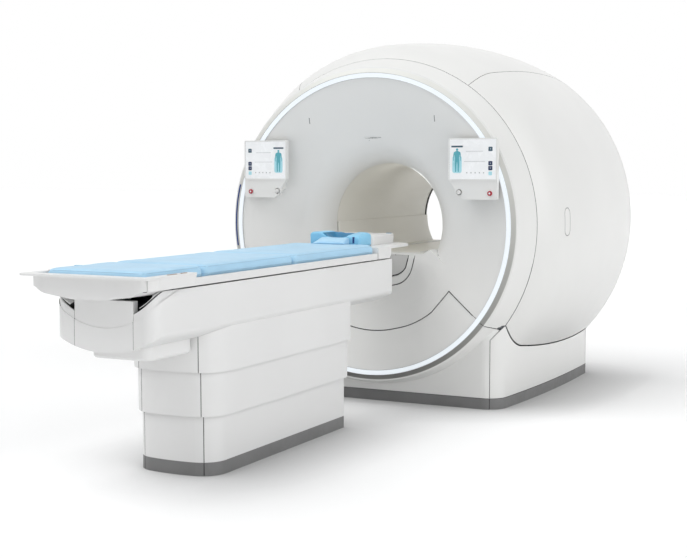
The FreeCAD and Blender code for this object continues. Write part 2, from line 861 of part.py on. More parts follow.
def make_magnet():
    """Vacuum vessel: a thick ring with chamfered ends and a service turret."""
    chamfer = 40.0
    points = [
        bore_point(magnet_start, magnet_inner),
        bore_point(magnet_start, magnet_radius - chamfer),
        bore_point(magnet_start + chamfer, magnet_radius),
        bore_point(magnet_end - chamfer, magnet_radius),
        bore_point(magnet_end, magnet_radius - chamfer),
        bore_point(magnet_end, magnet_inner),
    ]
    vessel = bore_revolve(polygon_face(points))
    base = vec(0, turret_y, bore_height + magnet_radius - 40.0)
    return vessel.fuse(cylinder(turret_radius, 40.0 + turret_height, base, vec(0, 0, 1)))


def make_cold_head():
    """Cooling head on the turret: flange, body and two gas stubs."""
    z0 = bore_height + magnet_radius + turret_height
    up = vec(0, 0, 1)
    flange = cylinder(turret_radius * 0.86, 10.0, vec(0, turret_y, z0), up)
    drum = cylinder(turret_radius * 0.5, 54.0, vec(0, turret_y, z0), up)
    stubs = []
    for side in (-1, 1):
        start = vec(0, turret_y + side * turret_radius * 0.4, z0 + 32.0)
        stubs.append(cylinder(8.0, turret_radius * 0.4, start, vec(0, side, 0)))
    return flange.fuse([drum] + stubs)


def make_magnet_feet():
    """Four steel saddles between the floor and the magnet."""
    clear = cylinder(magnet_radius + seat_gap, 3000, vec(0, -100, bore_height), vec(0, 1, 0))
    half = foot_width / 2.0
    feet = []
    for side in (-1, 1):
        for y in (magnet_start + 120.0, magnet_end - 120.0):
            x = side * foot_spread
            block = box(x - half, x + half, y - half, y + half, 0, bore_height - 0.5 * magnet_radius)
            block = min(block.cut(clear).Solids, key=lambda solid: solid.BoundBox.ZMin)
            plate = box(x - half - 25, x + half + 25, y - half - 25, y + half + 25, 0, 16)
            feet.append(block.fuse(plate))
    return Part.makeCompound(feet)


def inside_rear(offset):
    """Everything inside the rear cover's round outer edge, near the hoop."""
    outer = rear_edges(offset)[0]
    start = edge_start(outer)
    end = edge_end(outer)
    core = collar_radius - 100.0
    edges = [
        outer,
        line(end, bore_point(end.y, core)),
        line(bore_point(end.y, core), bore_point(start.y, core)),
        line(bore_point(start.y, core), start),
    ]
    return bore_revolve(face_of(edges))


def above_frame():
    return box(-3000, 3000, -100, 3000, frame_height + seat_gap, 3000)


def make_front_hoop():
    """Ring behind the collar seam, to which the covers are fixed."""
    length = 2.0 * hoop_half_width
    base = vec(0, collar_y - hoop_half_width, bore_height)
    ring = tube(barrel_radius, collar_radius - 60.0, length, base, vec(0, 1, 0))
    return ring.common(solid_inside_covers(-cover_wall - seat_gap)).common(above_frame())


def make_rear_hoop():
    """Ring at the rear edge, inside the side covers and the rear cover."""
    y0 = rear_y - 2.0 * hoop_half_width
    base = vec(0, y0, bore_height)
    ring = tube(barrel_radius, barrel_radius - 120.0, 2.0 * hoop_half_width + 20.0, base, vec(0, 1, 0))
    inside = solid_inside_covers(-cover_wall - seat_gap).fuse(inside_rear(-cover_wall - seat_gap))
    ring = ring.common(inside).common(above_frame())
    low = pedestal_prism(cover_wall + seat_gap, 0, 0.6 * bore_height)
    return largest(ring.common(low.fuse(box(-3000, 3000, 0, 3000, 0.5 * bore_height + seat_gap, 3000))))


def make_base_frame():
    """Welded floor frame inside the kick, with posts up to the front hoop."""
    inset = cover_wall + seat_gap
    rail = pedestal_wall(inset, frame_width, 0, frame_height)
    upstand = pedestal_wall(inset, 6.0, frame_height - 5.0, frame_height + 45.0)
    reach = pedestal_half_width - 80.0
    parts = [upstand]
    for y in (collar_y, rear_y - hoop_half_width):
        parts.append(box(-reach, reach, y - 25, y + 25, 0, frame_height))
    for side in (-1, 1):
        x = side * (foot_spread - foot_width / 2.0 - 25.0 - seat_gap)
        x_low = min(x, x - side * 50.0)
        parts.append(box(x_low, x_low + 50.0, collar_y, rear_y - hoop_half_width, 0, frame_height))
        middle = side * post_spread
        parts.append(box(middle - 30, middle + 30, collar_y - 25, collar_y + 25, 0, 0.5 * collar_radius))
    frame = rail.fuse(parts)
    clear = solid_inside_covers(-cover_wall).common(above_frame())
    posts_zone = box(-2 * post_spread, 2 * post_spread, collar_y - 60, collar_y + 60, 0, 3000)
    return largest(frame.cut(clear.common(posts_zone)))


def kick_part(region):
    return pedestal_wall(0.0, cover_wall, 0.0, kick_height).common(region)


def make_kick_front():
    half = corner_seam_x - seam / 2.0
    return kick_part(box(-half, half, 0, corner_centre_y, -1, kick_height + 1))


def make_kick_side():
    start = corner_seam_x + seam / 2.0
    return kick_part(box(start, 3000, 0, rear_centre_y, -1, kick_height + 1))


def make_kick_rear():
    return kick_part(box(-3000, 3000, rear_centre_y + seam, 3000, -1, kick_height + 1))


# ---- gantry: wall control panels -------------------------------------------
panel_back = panel_front + panel_thickness
panel_outer_x = panel_inner_x + panel_width
panel_low = bore_height + panel_base_rise
panel_split = panel_low + control_box_height
panel_high = panel_low + panel_height
stop_z = panel_low + stop_rise
knob_z = panel_low + knob_rise
control_front = panel_front + 5.0
control_skin = 8.0
cup_floor_wall = 6.0
cup_radius = knob_radius + 5.0
knob_pivot_y = panel_back - cup_floor_wall - stem_radius - 1.0 - 2.0 * seat_gap


def edges_along(shape, direction, test):
    """The straight edges that run along a direction and pass a test."""
    chosen = []
    for edge in shape.Edges:
        run = edge_end(edge) - edge_start(edge)
        if run.Length > 1e-6 and abs(run.normalize().dot(direction)) > 0.999 and test(edge_start(edge)):
            chosen.append(edge)
    return chosen


def round_along_y(shape, radius):
    return shape.makeFillet(radius, edges_along(shape, vec(0, 1, 0), lambda point: True))


def make_panel_housing():
    """Flat display housing with a chamfered control box below it."""
    display = box(panel_inner_x, panel_outer_x, panel_front, panel_back, panel_split, panel_high)
    display = round_along_y(display, 9.0)
    recess = box(panel_inner_x + 7, panel_outer_x - 7, panel_front - 1, panel_front + 2.6,
                 panel_split + 7, panel_high - 7)
    outline = [
        vec(panel_inner_x + 6, control_front, panel_split + 8),
        vec(panel_inner_x + 6, control_front, panel_split - 4),
        vec(panel_inner_x + 78, control_front, panel_low),
        vec(panel_outer_x, control_front, panel_low),
        vec(panel_outer_x, control_front, panel_split + 8),
    ]
    controls = prism(outline, vec(0, panel_back - control_front, 0))
    low_edges = edges_along(controls, vec(0, 1, 0), lambda point: point.z < panel_low + 1.0)
    controls = controls.makeFillet(10.0, low_edges)
    boss = cylinder(cup_radius + cup_wall, panel_back - control_front, vec(knob_x, control_front, knob_z),
                    vec(0, 1, 0))
    body = display.cut(recess).fuse([controls, boss])
    stop_hole = cylinder(stop_radius + slide_gap, 60, vec(stop_x, panel_front - 10, stop_z), vec(0, 1, 0))
    half = stop_radius + 7.0
    well = box(stop_x - half, stop_x + half, control_front + control_skin, panel_back + 1,
               stop_z - half, stop_z + half)
    lid_half = half + 4.0
    lid = box(stop_x - lid_half, stop_x + lid_half, panel_back - 1.0, panel_back + 6.0,
              stop_z - lid_half, stop_z + lid_half)
    cup = cylinder(cup_radius, 60, vec(knob_x, panel_front - 10, knob_z), vec(0, 1, 0))
    cup_floor = cylinder(cup_radius + 1.0, cup_floor_wall, vec(knob_x, panel_back - cup_floor_wall, knob_z),
                         vec(0, 1, 0))
    seats = pivot_pin(pin_radius + seat_gap, 2.0 * (cup_radius + pin_seat))
    return body.cut(stop_hole).cut(well).cut(cup).fuse([cup_floor, lid]).cut(seats)


def make_screen():
    return box(panel_inner_x + 7.3, panel_outer_x - 7.3, panel_front + 0.3, panel_front + 2.3,
               panel_split + 7.3, panel_high - 7.3)


def make_panel_bracket():
    """Arm from the funnel's face to the back of the panel."""
    arm = box(panel_inner_x + 60, panel_outer_x - 80, panel_back - 2.0, 200, panel_split - 60,
              panel_split + 120)
    arm = round_along_y(arm, 14.0)
    return arm.common(cone_outer_front(seat_gap))


def cone_outer_front(gap):
    """Everything in front of the funnel's crowned cone, less a small gap."""
    rim_radius = ring_inner_radius - seam
    fillet_y, fillet_radius, _ = funnel_fillet_start(funnel_rim_y, rim_radius)
    start = bore_point(funnel_rim_y - gap, rim_radius)
    end = bore_point(fillet_y - gap, fillet_radius)
    half_y = (funnel_rim_y + fillet_y) / 2.0 - funnel_crown - gap
    half = bore_point(half_y, (rim_radius + fillet_radius) / 2.0)
    front_low = bore_point(-60, fillet_radius)
    front_high = bore_point(-60, rim_radius)
    edges = [
        arc(start, half, end),
        line(end, front_low),
        line(front_low, front_high),
        line(front_high, start),
    ]
    return bore_revolve(face_of(edges))


def flat_rim_edges(shape, y):
    """The round edges that lie in a plane across the bore axis."""
    chosen = []
    for edge in shape.Edges:
        bounds = edge.BoundBox
        if abs(bounds.YMin - y) < 1e-4 and abs(bounds.YMax - y) < 1e-4:
            chosen.append(edge)
    return chosen


def make_stop_button():
    """Stop button: a bevelled cap, a stem and a flange that keeps it in its panel."""
    y0 = control_front - stop_proud
    cap = cylinder(stop_radius, stop_depth, vec(stop_x, y0, stop_z), vec(0, 1, 0))
    cap = cap.makeChamfer(cap_bevel, flat_rim_edges(cap, y0))
    flange_y = control_front + control_skin + seat_gap
    flange = cylinder(stop_radius + 4.0, 3.0, vec(stop_x, flange_y, stop_z), vec(0, 1, 0))
    return cap.fuse(flange)


def pivot_pin(radius, length):
    """A cylinder along X, centred on the speed lever's pivot."""
    return cylinder(radius, length, vec(knob_x - length / 2.0, knob_pivot_y, knob_z), vec(1, 0, 0))


def make_knob():
    """Speed lever: a bevelled cap on a stem whose cross pin sits in the panel."""
    y0 = control_front - knob_proud
    cap = cylinder(knob_radius, knob_depth, vec(knob_x, y0, knob_z), vec(0, 1, 0))
    cap = cap.makeChamfer(cap_bevel, flat_rim_edges(cap, y0))
    stem_y = y0 + cap_bevel
    stem = cylinder(stem_radius, knob_pivot_y - stem_y, vec(knob_x, stem_y, knob_z), vec(0, 1, 0))
    hub = pivot_pin(stem_radius + 1.0, 2.0 * knob_radius)
    pin = pivot_pin(pin_radius, 2.0 * (cup_radius + pin_seat - seat_gap))
    return cap.fuse([stem, hub, pin])


# ---- table: telescopic column ----------------------------------------------
head_corner = 30.0
foot_corner = 108.0
foot_bow = 744.0
column_seam_x = 155.0
head_corner_x = column_half_width - head_corner
head_corner_y = column_head - head_corner
bow_centre_y = column_foot + foot_bow
foot_corner_x = column_half_width - foot_corner
foot_corner_y = bow_centre_y - math.sqrt((foot_bow - foot_corner) ** 2 - foot_corner_x ** 2)
foot_turn = math.degrees(math.asin(foot_corner_x / (foot_bow - foot_corner)))


def column_outline(grow, z):
    """The column's plan: straight sides, round corners and a bowed foot end."""
    head = head_corner + grow
    foot = foot_corner + grow
    bow = foot_bow + grow
    right = [
        arc(polar(0, bow_centre_y, bow, -90, z),
            polar(0, bow_centre_y, bow, -90 + foot_turn / 2.0, z),
            polar(0, bow_centre_y, bow, -90 + foot_turn, z)),
        arc(polar(foot_corner_x, foot_corner_y, foot, -90 + foot_turn, z),
            polar(foot_corner_x, foot_corner_y, foot, -45, z),
            polar(foot_corner_x, foot_corner_y, foot, 0, z)),
        line(polar(foot_corner_x, foot_corner_y, foot, 0, z),
             polar(head_corner_x, head_corner_y, head, 0, z)),
        arc(polar(head_corner_x, head_corner_y, head, 0, z),
            polar(head_corner_x, head_corner_y, head, 45, z),
            polar(head_corner_x, head_corner_y, head, 90, z)),
    ]
    head_y = column_head + grow
    head_line = line(vec(head_corner_x, head_y, z), vec(-head_corner_x, head_y, z))
    left = [mirror_x(edge) for edge in right]
    return Part.Wire(Part.__sortEdges__(right + [head_line] + left))


def column_prism(grow, z0, z1):
    return Part.Face(column_outline(grow, z0)).extrude(vec(0, 0, z1 - z0))


def column_wall(grow, wall, z0, z1):
    return column_prism(grow, z0, z1).cut(column_prism(grow - wall, z0, z1))


def end_zone(half, z0, z1):
    """The region of the column's foot end between its two upright seams."""
    return box(-half, half, column_foot - 100, foot_corner_y, z0, z1)


def make_shroud(grow, z0, z1):
    return column_wall(grow, tier_wall, z0, z1).cut(end_zone(column_seam_x + seam / 2.0, z0, z1))


def make_end_panel(grow, z0, z1):
    """End panel of a tier, with a flange that laps behind the shroud."""
    face = column_wall(grow, tier_wall, z0, z1).common(end_zone(column_seam_x - seam / 2.0, z0, z1))
    lap = column_wall(grow - tier_wall - seat_gap, 2.5, z0, z1)
    lap = lap.common(end_zone(column_seam_x + 12.0, z0, z1))
    neck = column_wall(grow - tier_wall + 1.0, 2.0, z0, z1)
    neck = neck.common(end_zone(column_seam_x - seam / 2.0, z0, z1))
    return largest(face.fuse([neck, lap]))


def make_table_base():
    """Floor plate of the table, with a low rim and the two outer lift tubes."""
    inset = -tier_wall - seat_gap
    plate = column_prism(inset - 3.1, 0, base_plate)
    rim = column_wall(inset, 5.0, 0, kick_height + 30.0)
    rim = rim.cut(end_zone(column_seam_x + 14.0, -1.0, kick_height + 31.0))
    top = lower_tier_top + tier_overlap
    tubes = [square_tube(y, 80.0, 10.0 - slide_gap, base_plate - 1.0, top) for y in lift_places]
    return plate.fuse([rim] + tubes)


# ---- table: lift -----------------------------------------------------------
lift_places = (column_head - 402.0, column_foot + 389.0)
lift_reach = abs(lift_places[0] - lift_places[1]) / 2.0 - 80.0 - seat_gap
base_plate = 12.0
middle_grow = tier_step
upper_grow = 2.0 * tier_step
frame_low = housing_bottom + 65.0


def square_post(y, half, z0, z1):
    return box(-half, half, y - half, y + half, z0, z1)


def square_tube(y, half, wall, z0, z1):
    return square_post(y, half, z0, z1).cut(square_post(y, half - wall, z0 - 1, z1 + 1))


def make_middle_lift():
    """Middle lift tubes, welded to a plate that carries the middle tier."""
    low = lower_tier_top - 62.0
    top = middle_tier_top + tier_overlap
    posts = [square_post(y, 70.0, low, top) for y in lift_places]
    plate = column_prism(middle_grow - tier_wall - 3.4, top - 10.0, top - 2.0)
    side = column_wall(middle_grow - tier_wall - seat_gap, 8.0, top - 10.0, top - 2.0)
    side = side.cut(end_zone(column_seam_x + 14.0, top - 10.0, top - 2.0))
    body = plate.fuse([side] + posts)
    for y in lift_places:
        body = body.cut(square_post(y, 60.0 + slide_gap, low - 1, top + 1))
    return body


def make_inner_tubes():
    low = middle_tier_top - 50.0
    return [square_tube(y, 60.0, 8.0, low, frame_low + 1.0) for y in lift_places]


def make_lift_motor():
    """Gear motor on the base plate between the two lift columns."""
    y = sum(lift_places) / 2.0
    half = min(70.0, lift_reach - 8.0)
    gearbox = box(-60, 60, y - half, y + half, base_plate, base_plate + 90)
    motor = cylinder(45.0, 150.0, vec(0, y, base_plate + 90), vec(0, 0, 1))
    shaft_z = base_plate + 55.0
    shafts = []
    for side in (-1, 1):
        shafts.append(cylinder(12.0, lift_reach, vec(0, y, shaft_z), vec(0, side, 0)))
    return gearbox.fuse([motor] + shafts)


# ---- table: housing --------------------------------------------------------
below_table = housing_bottom - 240.0
above_table = deck_bottom + 150.0
housing_edge_z = housing_bottom + 8.0
housing_belly_z = housing_bottom - 50.0
nose_half = 145.0
nose_top = deck_bottom - 47.0
nose_depth = 84.0
nose_shelf = 34.0
nose_crease = 3.0
rim_width = 26.0


def housing_section(inset):
    """Section across the table: upright sides and a bowed underside."""
    half = housing_half_width - inset
    edge_z = housing_edge_z + inset
    low_z = housing_belly_z + inset
    top = housing_top + (1.0 if inset > 0 else 0.0)
    turn = 26.0 - min(inset, 20.0)
    sag = 0.30
    quarter = vec(half * 0.55, 0, low_z + (edge_z - low_z) * sag)
    side_low = vec(half, 0, edge_z + turn)
    bottom_edge = vec(half - turn, 0, edge_z - 6.0)
    bend = vec(half - 0.29 * turn, 0, edge_z + 0.22 * turn)

    def other(point):
        return vec(-point.x, 0, point.z)

    edges = [
        line(vec(half, 0, top), side_low),
        arc(side_low, bend, bottom_edge),
        arc(bottom_edge, quarter, vec(0, 0, low_z)),
        arc(vec(0, 0, low_z), other(quarter), other(bottom_edge)),
        arc(other(bottom_edge), other(bend), other(side_low)),
        line(other(side_low), vec(-half, 0, top)),
        line(vec(-half, 0, top), vec(half, 0, top)),
    ]
    return face_of(edges)


def housing_solid(inset):
    """The whole trough of the table housing as a solid, moved in by inset."""
    y0 = housing_foot + inset
    y1 = housing_head - inset
    body = housing_section(inset).extrude(vec(0, y1 - y0, 0))
    body.translate(vec(0, y0, 0))
    foot_plan = rounded_block(-housing_half_width + inset, housing_half_width - inset, y0, y1 + 400,
                              below_table, above_table, 55.0 - inset)
    head_plan = rounded_block(-housing_half_width + inset, housing_half_width - inset, y0 - 400, y1,
                              below_table, above_table, max(24.0 - inset, 2.0))
    return body.common(foot_plan).common(head_plan)


def foot_scoop(grow):
    """Tilted cylinder that hollows the housing's rim at its foot end, made larger by grow."""
    slope = 0.3
    radius = 375.0
    low = housing_bottom + 66.0
    reach = 600.0
    start = vec(0, housing_foot - 200.0, low + radius - slope * 200.0)
    direction = vec(0, 1.0, slope)
    return cylinder(radius + grow, reach, start, direction)


def foot_cover_path():
    """The space that the foot cover's underside sweeps as the tabletop slides."""
    low = [vec(x, housing_foot - 100.0, z - 4.0) for x, z in cover_keel()]
    return prism([vec(-400, housing_foot - 100.0, above_table)]
                 + [vec(-point.x, point.y, point.z) for point in low]
                 + list(reversed(low)) + [vec(400, housing_foot - 100.0, above_table)], vec(0, 800.0, 0))


def make_housing():
    """The long trough under the tabletop; a band set back a little edges its foot end."""
    shell = housing_solid(0.0).cut(housing_solid(housing_wall))
    shell = shell.cut(column_prism(upper_grow - tier_wall, below_table, frame_low + 55.0))
    shell = shell.cut(foot_scoop(0.0))
    rim = housing_solid(nose_crease).cut(housing_solid(nose_crease + housing_wall))
    rim = rim.common(foot_scoop(2.0)).cut(foot_scoop(-rim_width)).cut(foot_cover_path())
    shell = shell.fuse(rim)
    gap = nose_half + seam / 2.0
    shell = shell.cut(box(-gap, gap, housing_foot - 50, housing_foot + 60.0, below_table, above_table))
    return largest(shell)


def make_nose_block():
    """Raised block in the middle of the housing's foot end, with a lap under it."""
    y0 = housing_foot - 50.0
    y1 = housing_foot + nose_depth
    block = housing_solid(0.0).common(box(-nose_half, nose_half, y0, y1, below_table, nose_top))
    inner = housing_solid(housing_wall).common(
        box(-nose_half + 6, nose_half - 6, y0, y1 - 6, below_table, nose_top - 6))
    housing_skin = housing_solid(-1.0).cut(housing_solid(housing_wall + seat_gap))
    behind = box(-400, 400, housing_foot + 58.5, y1 + 50, below_table, above_table)
    block = block.cut(inner).cut(housing_skin.common(behind))
    crease = box(-nose_half, nose_half, y0, housing_foot + nose_crease, below_table, above_table)
    crease = crease.common(foot_scoop(0.0))
    back = box(-nose_half, nose_half, housing_foot + nose_shelf, y1 + 50, frame_low, above_table)
    block = block.cut(crease).cut(back)
    lap = housing_solid(housing_wall + seat_gap).cut(housing_solid(housing_wall + 3.0))
    neck_top_z = frame_low - 15.0
    lap = lap.common(box(-nose_half - 14, nose_half + 14, y0, housing_foot + 56.0, below_table, neck_top_z))
    neck = housing_solid(housing_wall - 1.0).cut(housing_solid(housing_wall + 1.0))
    neck = neck.common(box(-nose_half, nose_half, y0, housing_foot + 56.0, below_table, neck_top_z))
    return largest(block.fuse([neck, lap]))


def make_belly():
    """Shallow cover under the foot end of the housing."""
    y0 = housing_foot + 100.0
    y1 = column_foot - upper_grow - 6.0
    top = housing_edge_z
    outer = rounded_block(-150, 150, y0, y1, housing_belly_z - 42.0, top, 40.0)
    low_edges = [edge for edge in outer.Edges if edge.BoundBox.ZMax < housing_belly_z - 41.9]
    outer = outer.makeFillet(14.0, low_edges)
    inner = rounded_block(-144, 144, y0 + 6, y1 - 6, housing_belly_z - 36.0, top + 1, 34.0)
    return outer.cut(inner).cut(housing_solid(-seat_gap))


# ---- table: steel frame and drive ------------------------------------------
drive_y = housing_foot + 165.0
idler_y = housing_head - 55.0
pulley_radius = 24.0
belt_wall = 3.0
belt_half_width = 10.0
rail_x = 180.0
beam_top = frame_low + 50.0
rail_top = beam_top + 20.0
belt_z = beam_top + 7.0
roller_y = housing_head - 72.0
roller_radius = 15.0
roller_half_length = 130.0
shaft_radius = 8.0
axle_radius = 6.0
running_gap = 0.06


def make_table_frame():
    """Frame inside the housing: two beams, cross-bars, plates and inner lift tubes."""
    y0 = housing_foot + 80.0
    y1 = housing_head - 25.0
    parts = []
    for side in (-1, 1):
        x = side * rail_x
        parts.append(box(x - 30, x + 30, y0, y1, frame_low, beam_top))
    for y in lift_places:
        parts.append(box(-160, 160, y - 120, y + 120, frame_low, frame_low + 12))
    parts.append(box(-160, 160, drive_y - 45, drive_y + 45, frame_low, frame_low + 12))
    parts.append(box(-160, 160, idler_y - 35, idler_y + 10, frame_low, frame_low + 12))
    half = housing_half_width - housing_wall - seat_gap
    for y in (housing_foot + 110.0, sum(lift_places) / 2.0, housing_head - 210.0):
        parts.append(box(-half, half, y - 20, y + 20, frame_low, frame_low + 23))
    frame = parts[0].fuse(parts[1:] + make_inner_tubes())
    cheeks = []
    for side in (-1, 1):
        x0 = side * 21.0
        cheeks.append(box(x0 - 3, x0 + 3, idler_y - 18, idler_y + 10, frame_low + 11, belt_z + 13))
        x1 = side * (roller_half_length + 6.0)
        cheeks.append(box(x1 - 3, x1 + 3, roller_y - 14, roller_y + 14, frame_low + 11, roller_z + 8))
        x2 = side * (roller_half_length + 13.0)
        cheeks.append(box(x2 - 7.5, x2 + 7.5, roller_y - 14, roller_y + 14, frame_low + 11, frame_low + 30))
    frame = frame.fuse(cheeks)
    axle = cylinder(axle_radius, 42.0, vec(-21, idler_y, belt_z), vec(1, 0, 0))
    frame = frame.fuse(axle)
    bearing = cylinder(axle_radius + running_gap, 400.0, vec(-200, roller_y, roller_z), vec(1, 0, 0))
    return frame.cut(bearing)


roller_z = deck_bottom - seat_gap - roller_radius


def make_guide_rails():
    rails = []
    for side in (-1, 1):
        x = side * rail_x
        rails.append(box(x - 10, x + 10, housing_foot + 80, housing_head - 25, beam_top, rail_top))
    return Part.makeCompound(rails)


def make_drive_pulley():
    """Toothed pulley, drawn as a drum with two rims, on its own shaft."""
    drum = cylinder(pulley_radius, 2 * belt_half_width + 1.0, vec(-10.5, drive_y, belt_z), vec(1, 0, 0))
    shaft = cylinder(shaft_radius, 50.0, vec(-14.0, drive_y, belt_z), vec(1, 0, 0))
    hub = cylinder(shaft_radius + 6.0, 14.0, vec(9.0, drive_y, belt_z), vec(1, 0, 0))
    return drum.fuse([shaft, hub])


def make_idler_pulley():
    drum = cylinder(pulley_radius, 2 * belt_half_width + 1.0, vec(-10.5, idler_y, belt_z), vec(1, 0, 0))
    hub = cylinder(12.0, 34.0, vec(-17, idler_y, belt_z), vec(1, 0, 0))
    bore = cylinder(axle_radius + running_gap, 60.0, vec(-30, idler_y, belt_z), vec(1, 0, 0))
    return drum.fuse(hub).cut(bore)


def belt_loop(radius, half_width):
    """A solid that fills the belt's loop out to a given radius."""
    length = idler_y - drive_y
    span = box(-half_width, half_width, drive_y, drive_y + length, belt_z - radius, belt_z + radius)
    for y in (drive_y, idler_y):
        span = span.fuse(cylinder(radius, 2 * half_width, vec(-half_width, y, belt_z), vec(1, 0, 0)))
    return span.removeSplitter()


def make_belt():
    inner = pulley_radius + seat_gap
    return belt_loop(inner + belt_wall, belt_half_width).cut(belt_loop(inner, belt_half_width + 5.0))


def make_drive_motor():
    """Motor beside the drive pulley, on a foot block, with a bore for the shaft."""
    body = cylinder(40.0, 115.0, vec(30, drive_y, belt_z), vec(1, 0, 0))
    foot = box(50, 130, drive_y - 30, drive_y + 30, frame_low + 12, belt_z - 20)
    bore = cylinder(shaft_radius + running_gap, 40.0, vec(29, drive_y, belt_z), vec(1, 0, 0))
    return body.fuse(foot).cut(bore)


def make_support_roller():
    length = 2.0 * roller_half_length
    drum = cylinder(roller_radius, length, vec(-roller_half_length, roller_y, roller_z), vec(1, 0, 0))
    axle_half = roller_half_length + 9.0
    axle = cylinder(axle_radius, 2 * axle_half, vec(-axle_half, roller_y, roller_z), vec(1, 0, 0))
    return drum.fuse(axle)


# ---- table: tabletop -------------------------------------------------------
head_block_y = deck_head - 172.0
head_block_top = deck_bottom + 62.0
tongue_end = 100.0
tongue_half = 240.0
pad_half = 250.0
pad_gap = 1.5
foot_pad_end = deck_foot + 510.0
middle_pad_end = deck_foot + 1273.0
cradle_half = 150.0
cradle_top = head_block_top + 76.0
cradle_floor = head_block_top + 32.0
cradle_lip = head_block_top + 56.0
cradle_back = 26.0
cradle_front = 20.0
trough_radius = 95.0
trough_depth = cradle_top - cradle_floor
trough_half = math.sqrt(trough_depth * (2.0 * trough_radius - trough_depth))
neck_half = 100.0
neck_length = 76.0
neck_top = mattress_top + 34.0
connector_start = deck_head - 6.0
connector_length = 290.0
connector_top = head_block_top + 54.0
rail_inner_x = deck_half_width - 14.4
deck_top = deck_bottom + deck_floor
wing_x = deck_half_width + 46.0
wing_top = deck_bottom + 60.0
wing_low = deck_bottom + 6.0
wing_end = deck_foot + 350.0
hull_end = deck_foot + 250.0
cover_foot = deck_foot - 6.0
rim_overhang = 43.0
rim_height = 9.0
deck_start = cover_foot + rim_overhang + 22.0
tray_start = deck_start + 14.0
groove_y = deck_start - 4.0
runner_start = max(housing_foot + 110.0, hull_end)
slot_x = deck_half_width + 24.0
slot_y = deck_foot + 240.0


def make_deck():
    """Long flat tabletop with raised side rails."""
    half = deck_half_width
    slab = rounded_block(-half, half, deck_start, head_block_y, deck_bottom, deck_edge, 12.0)
    tray = box(-rail_inner_x, rail_inner_x, tray_start, head_block_y + 10, deck_top, deck_edge + 5)
    return slab.cut(tray)


def make_runner_blocks():
    """Blocks under the deck's foot end that straddle the guide rails."""
    blocks = []
    for side in (-1, 1):
        for y in (runner_start, runner_start + 100.0):
            x = side * rail_x
            block = box(x - 20, x + 20, y, y + 80, beam_top + 4, deck_bottom)
            slot = box(x - 10 - slide_gap, x + 10 + slide_gap, y - 1, y + 81, beam_top, rail_top + slide_gap)
            blocks.append(block.cut(slot))
    return Part.makeCompound(blocks)


def make_belt_clamp():
    y0 = runner_start + 75.0
    return box(-15, 15, y0, y0 + 40, belt_z + pulley_radius + belt_wall + 2 * seat_gap, deck_bottom)


def make_head_end():
    """Head end of the tabletop: a block that thins out to a flat tongue."""
    side = [
        vec(0, head_block_y + seat_gap, deck_bottom),
        vec(0, deck_head - 30.0, deck_bottom),
        vec(0, deck_head, deck_bottom + 30.0),
        vec(0, deck_head + 6.0, head_block_top - 16.0),
        vec(0, tongue_end, head_block_top - 14.0),
        vec(0, tongue_end, head_block_top),
        vec(0, head_block_y + seat_gap, head_block_top),
    ]
    profile = prism(side, vec(2 * deck_half_width, 0, 0))
    profile.translate(vec(-deck_half_width, 0, 0))
    low = deck_bottom - 50.0
    half = deck_half_width
    tongue = rounded_block(-tongue_half, tongue_half, deck_head - 200, tongue_end, low, above_table, 95.0)
    block = rounded_block(-half, half, deck_head - 600, deck_head + 2.0, low, above_table, 16.0)
    return profile.common(tongue.fuse(block))


def foot_section(y, half_width_list):
    """Closed section of the foot cover from a list of x and z on the right."""
    right = [vec(x, y, z) for x, z in half_width_list]
    left = [vec(-point.x, y, point.z) for point in reversed(right)]
    return right + left


def cover_keel():
    """Corners of the foot cover's underside on the right, from its side to its middle."""
    keel_steps = ((-7, 3), (-33, -12), (-55, -20), (-191, -38))
    return [(deck_half_width + dx, deck_bottom + dz) for dx, dz in keel_steps]


def make_foot_cover():
    """Shell at the tabletop's foot end: a thin rim over a hull with two wings."""
    hull_foot = cover_foot + rim_overhang
    inner_x = deck_half_width + seat_gap
    inner_y = deck_start - seat_gap
    side = [(wing_x, wing_top), (wing_x - 10.0, wing_low)]
    keel = cover_keel()
    hull = prism(foot_section(hull_foot, side + keel), vec(0, hull_end - hull_foot, 0))
    hull = hull.cut(box(-400, 400, hull_foot - 1, hull_end + 1, wing_low + 4, above_table))
    wings = prism(foot_section(hull_foot, side + keel[:1]), vec(0, wing_end - hull_foot, 0))
    plan = rounded_block(-wing_x - 3, wing_x + 3, hull_foot, wing_end + 200, below_table, above_table, 90.0)
    rim = rounded_block(-wing_x, wing_x, cover_foot, wing_end, wing_top - rim_height, wing_top, 22.0)
    body = hull.fuse(wings).common(plan).fuse(rim)
    space = box(-inner_x, inner_x, inner_y, wing_end + 100, deck_bottom - seat_gap, above_table)
    tray = box(-rail_inner_x, rail_inner_x, tray_start, wing_end + 100, deck_edge - 2.0, above_table)
    core = rounded_block(-wing_x + 14.0, wing_x - 14.0, hull_foot + 2.0, wing_end + 200,
                         below_table, above_table, 80.0)
    groove = box(-400, 400, groove_y - 1.5, groove_y + 1.5, below_table, wing_top - rim_height)
    groove = plan.cut(core).common(groove)
    body = body.cut(space).cut(tray).cut(groove)
    for x in (-slot_x, slot_x):
        slot = rounded_block(x - 6, x + 6, slot_y - 60, slot_y + 60, wing_top - 3, above_table, 5.9)
        body = body.cut(slot)
    return body


def pad_section(half, y, z0, z1, draw):
    """Section of a pad: bulging sides, round shoulders and a crowned top."""
    h = half - draw
    top = z1 - draw * 0.6
    middle = (z0 + top) / 2.0
    edges = [
        line(vec(-h + 3, y, z0), vec(h - 3, y, z0)),
        arc(vec(h - 3, y, z0), vec(h, y, middle), vec(h - 4, y, top - 5)),
        arc(vec(h - 4, y, top - 5), vec(0, y, top), vec(-h + 4, y, top - 5)),
        arc(vec(-h + 4, y, top - 5), vec(-h, y, middle), vec(-h + 3, y, z0)),
    ]
    return Part.Wire(edges)


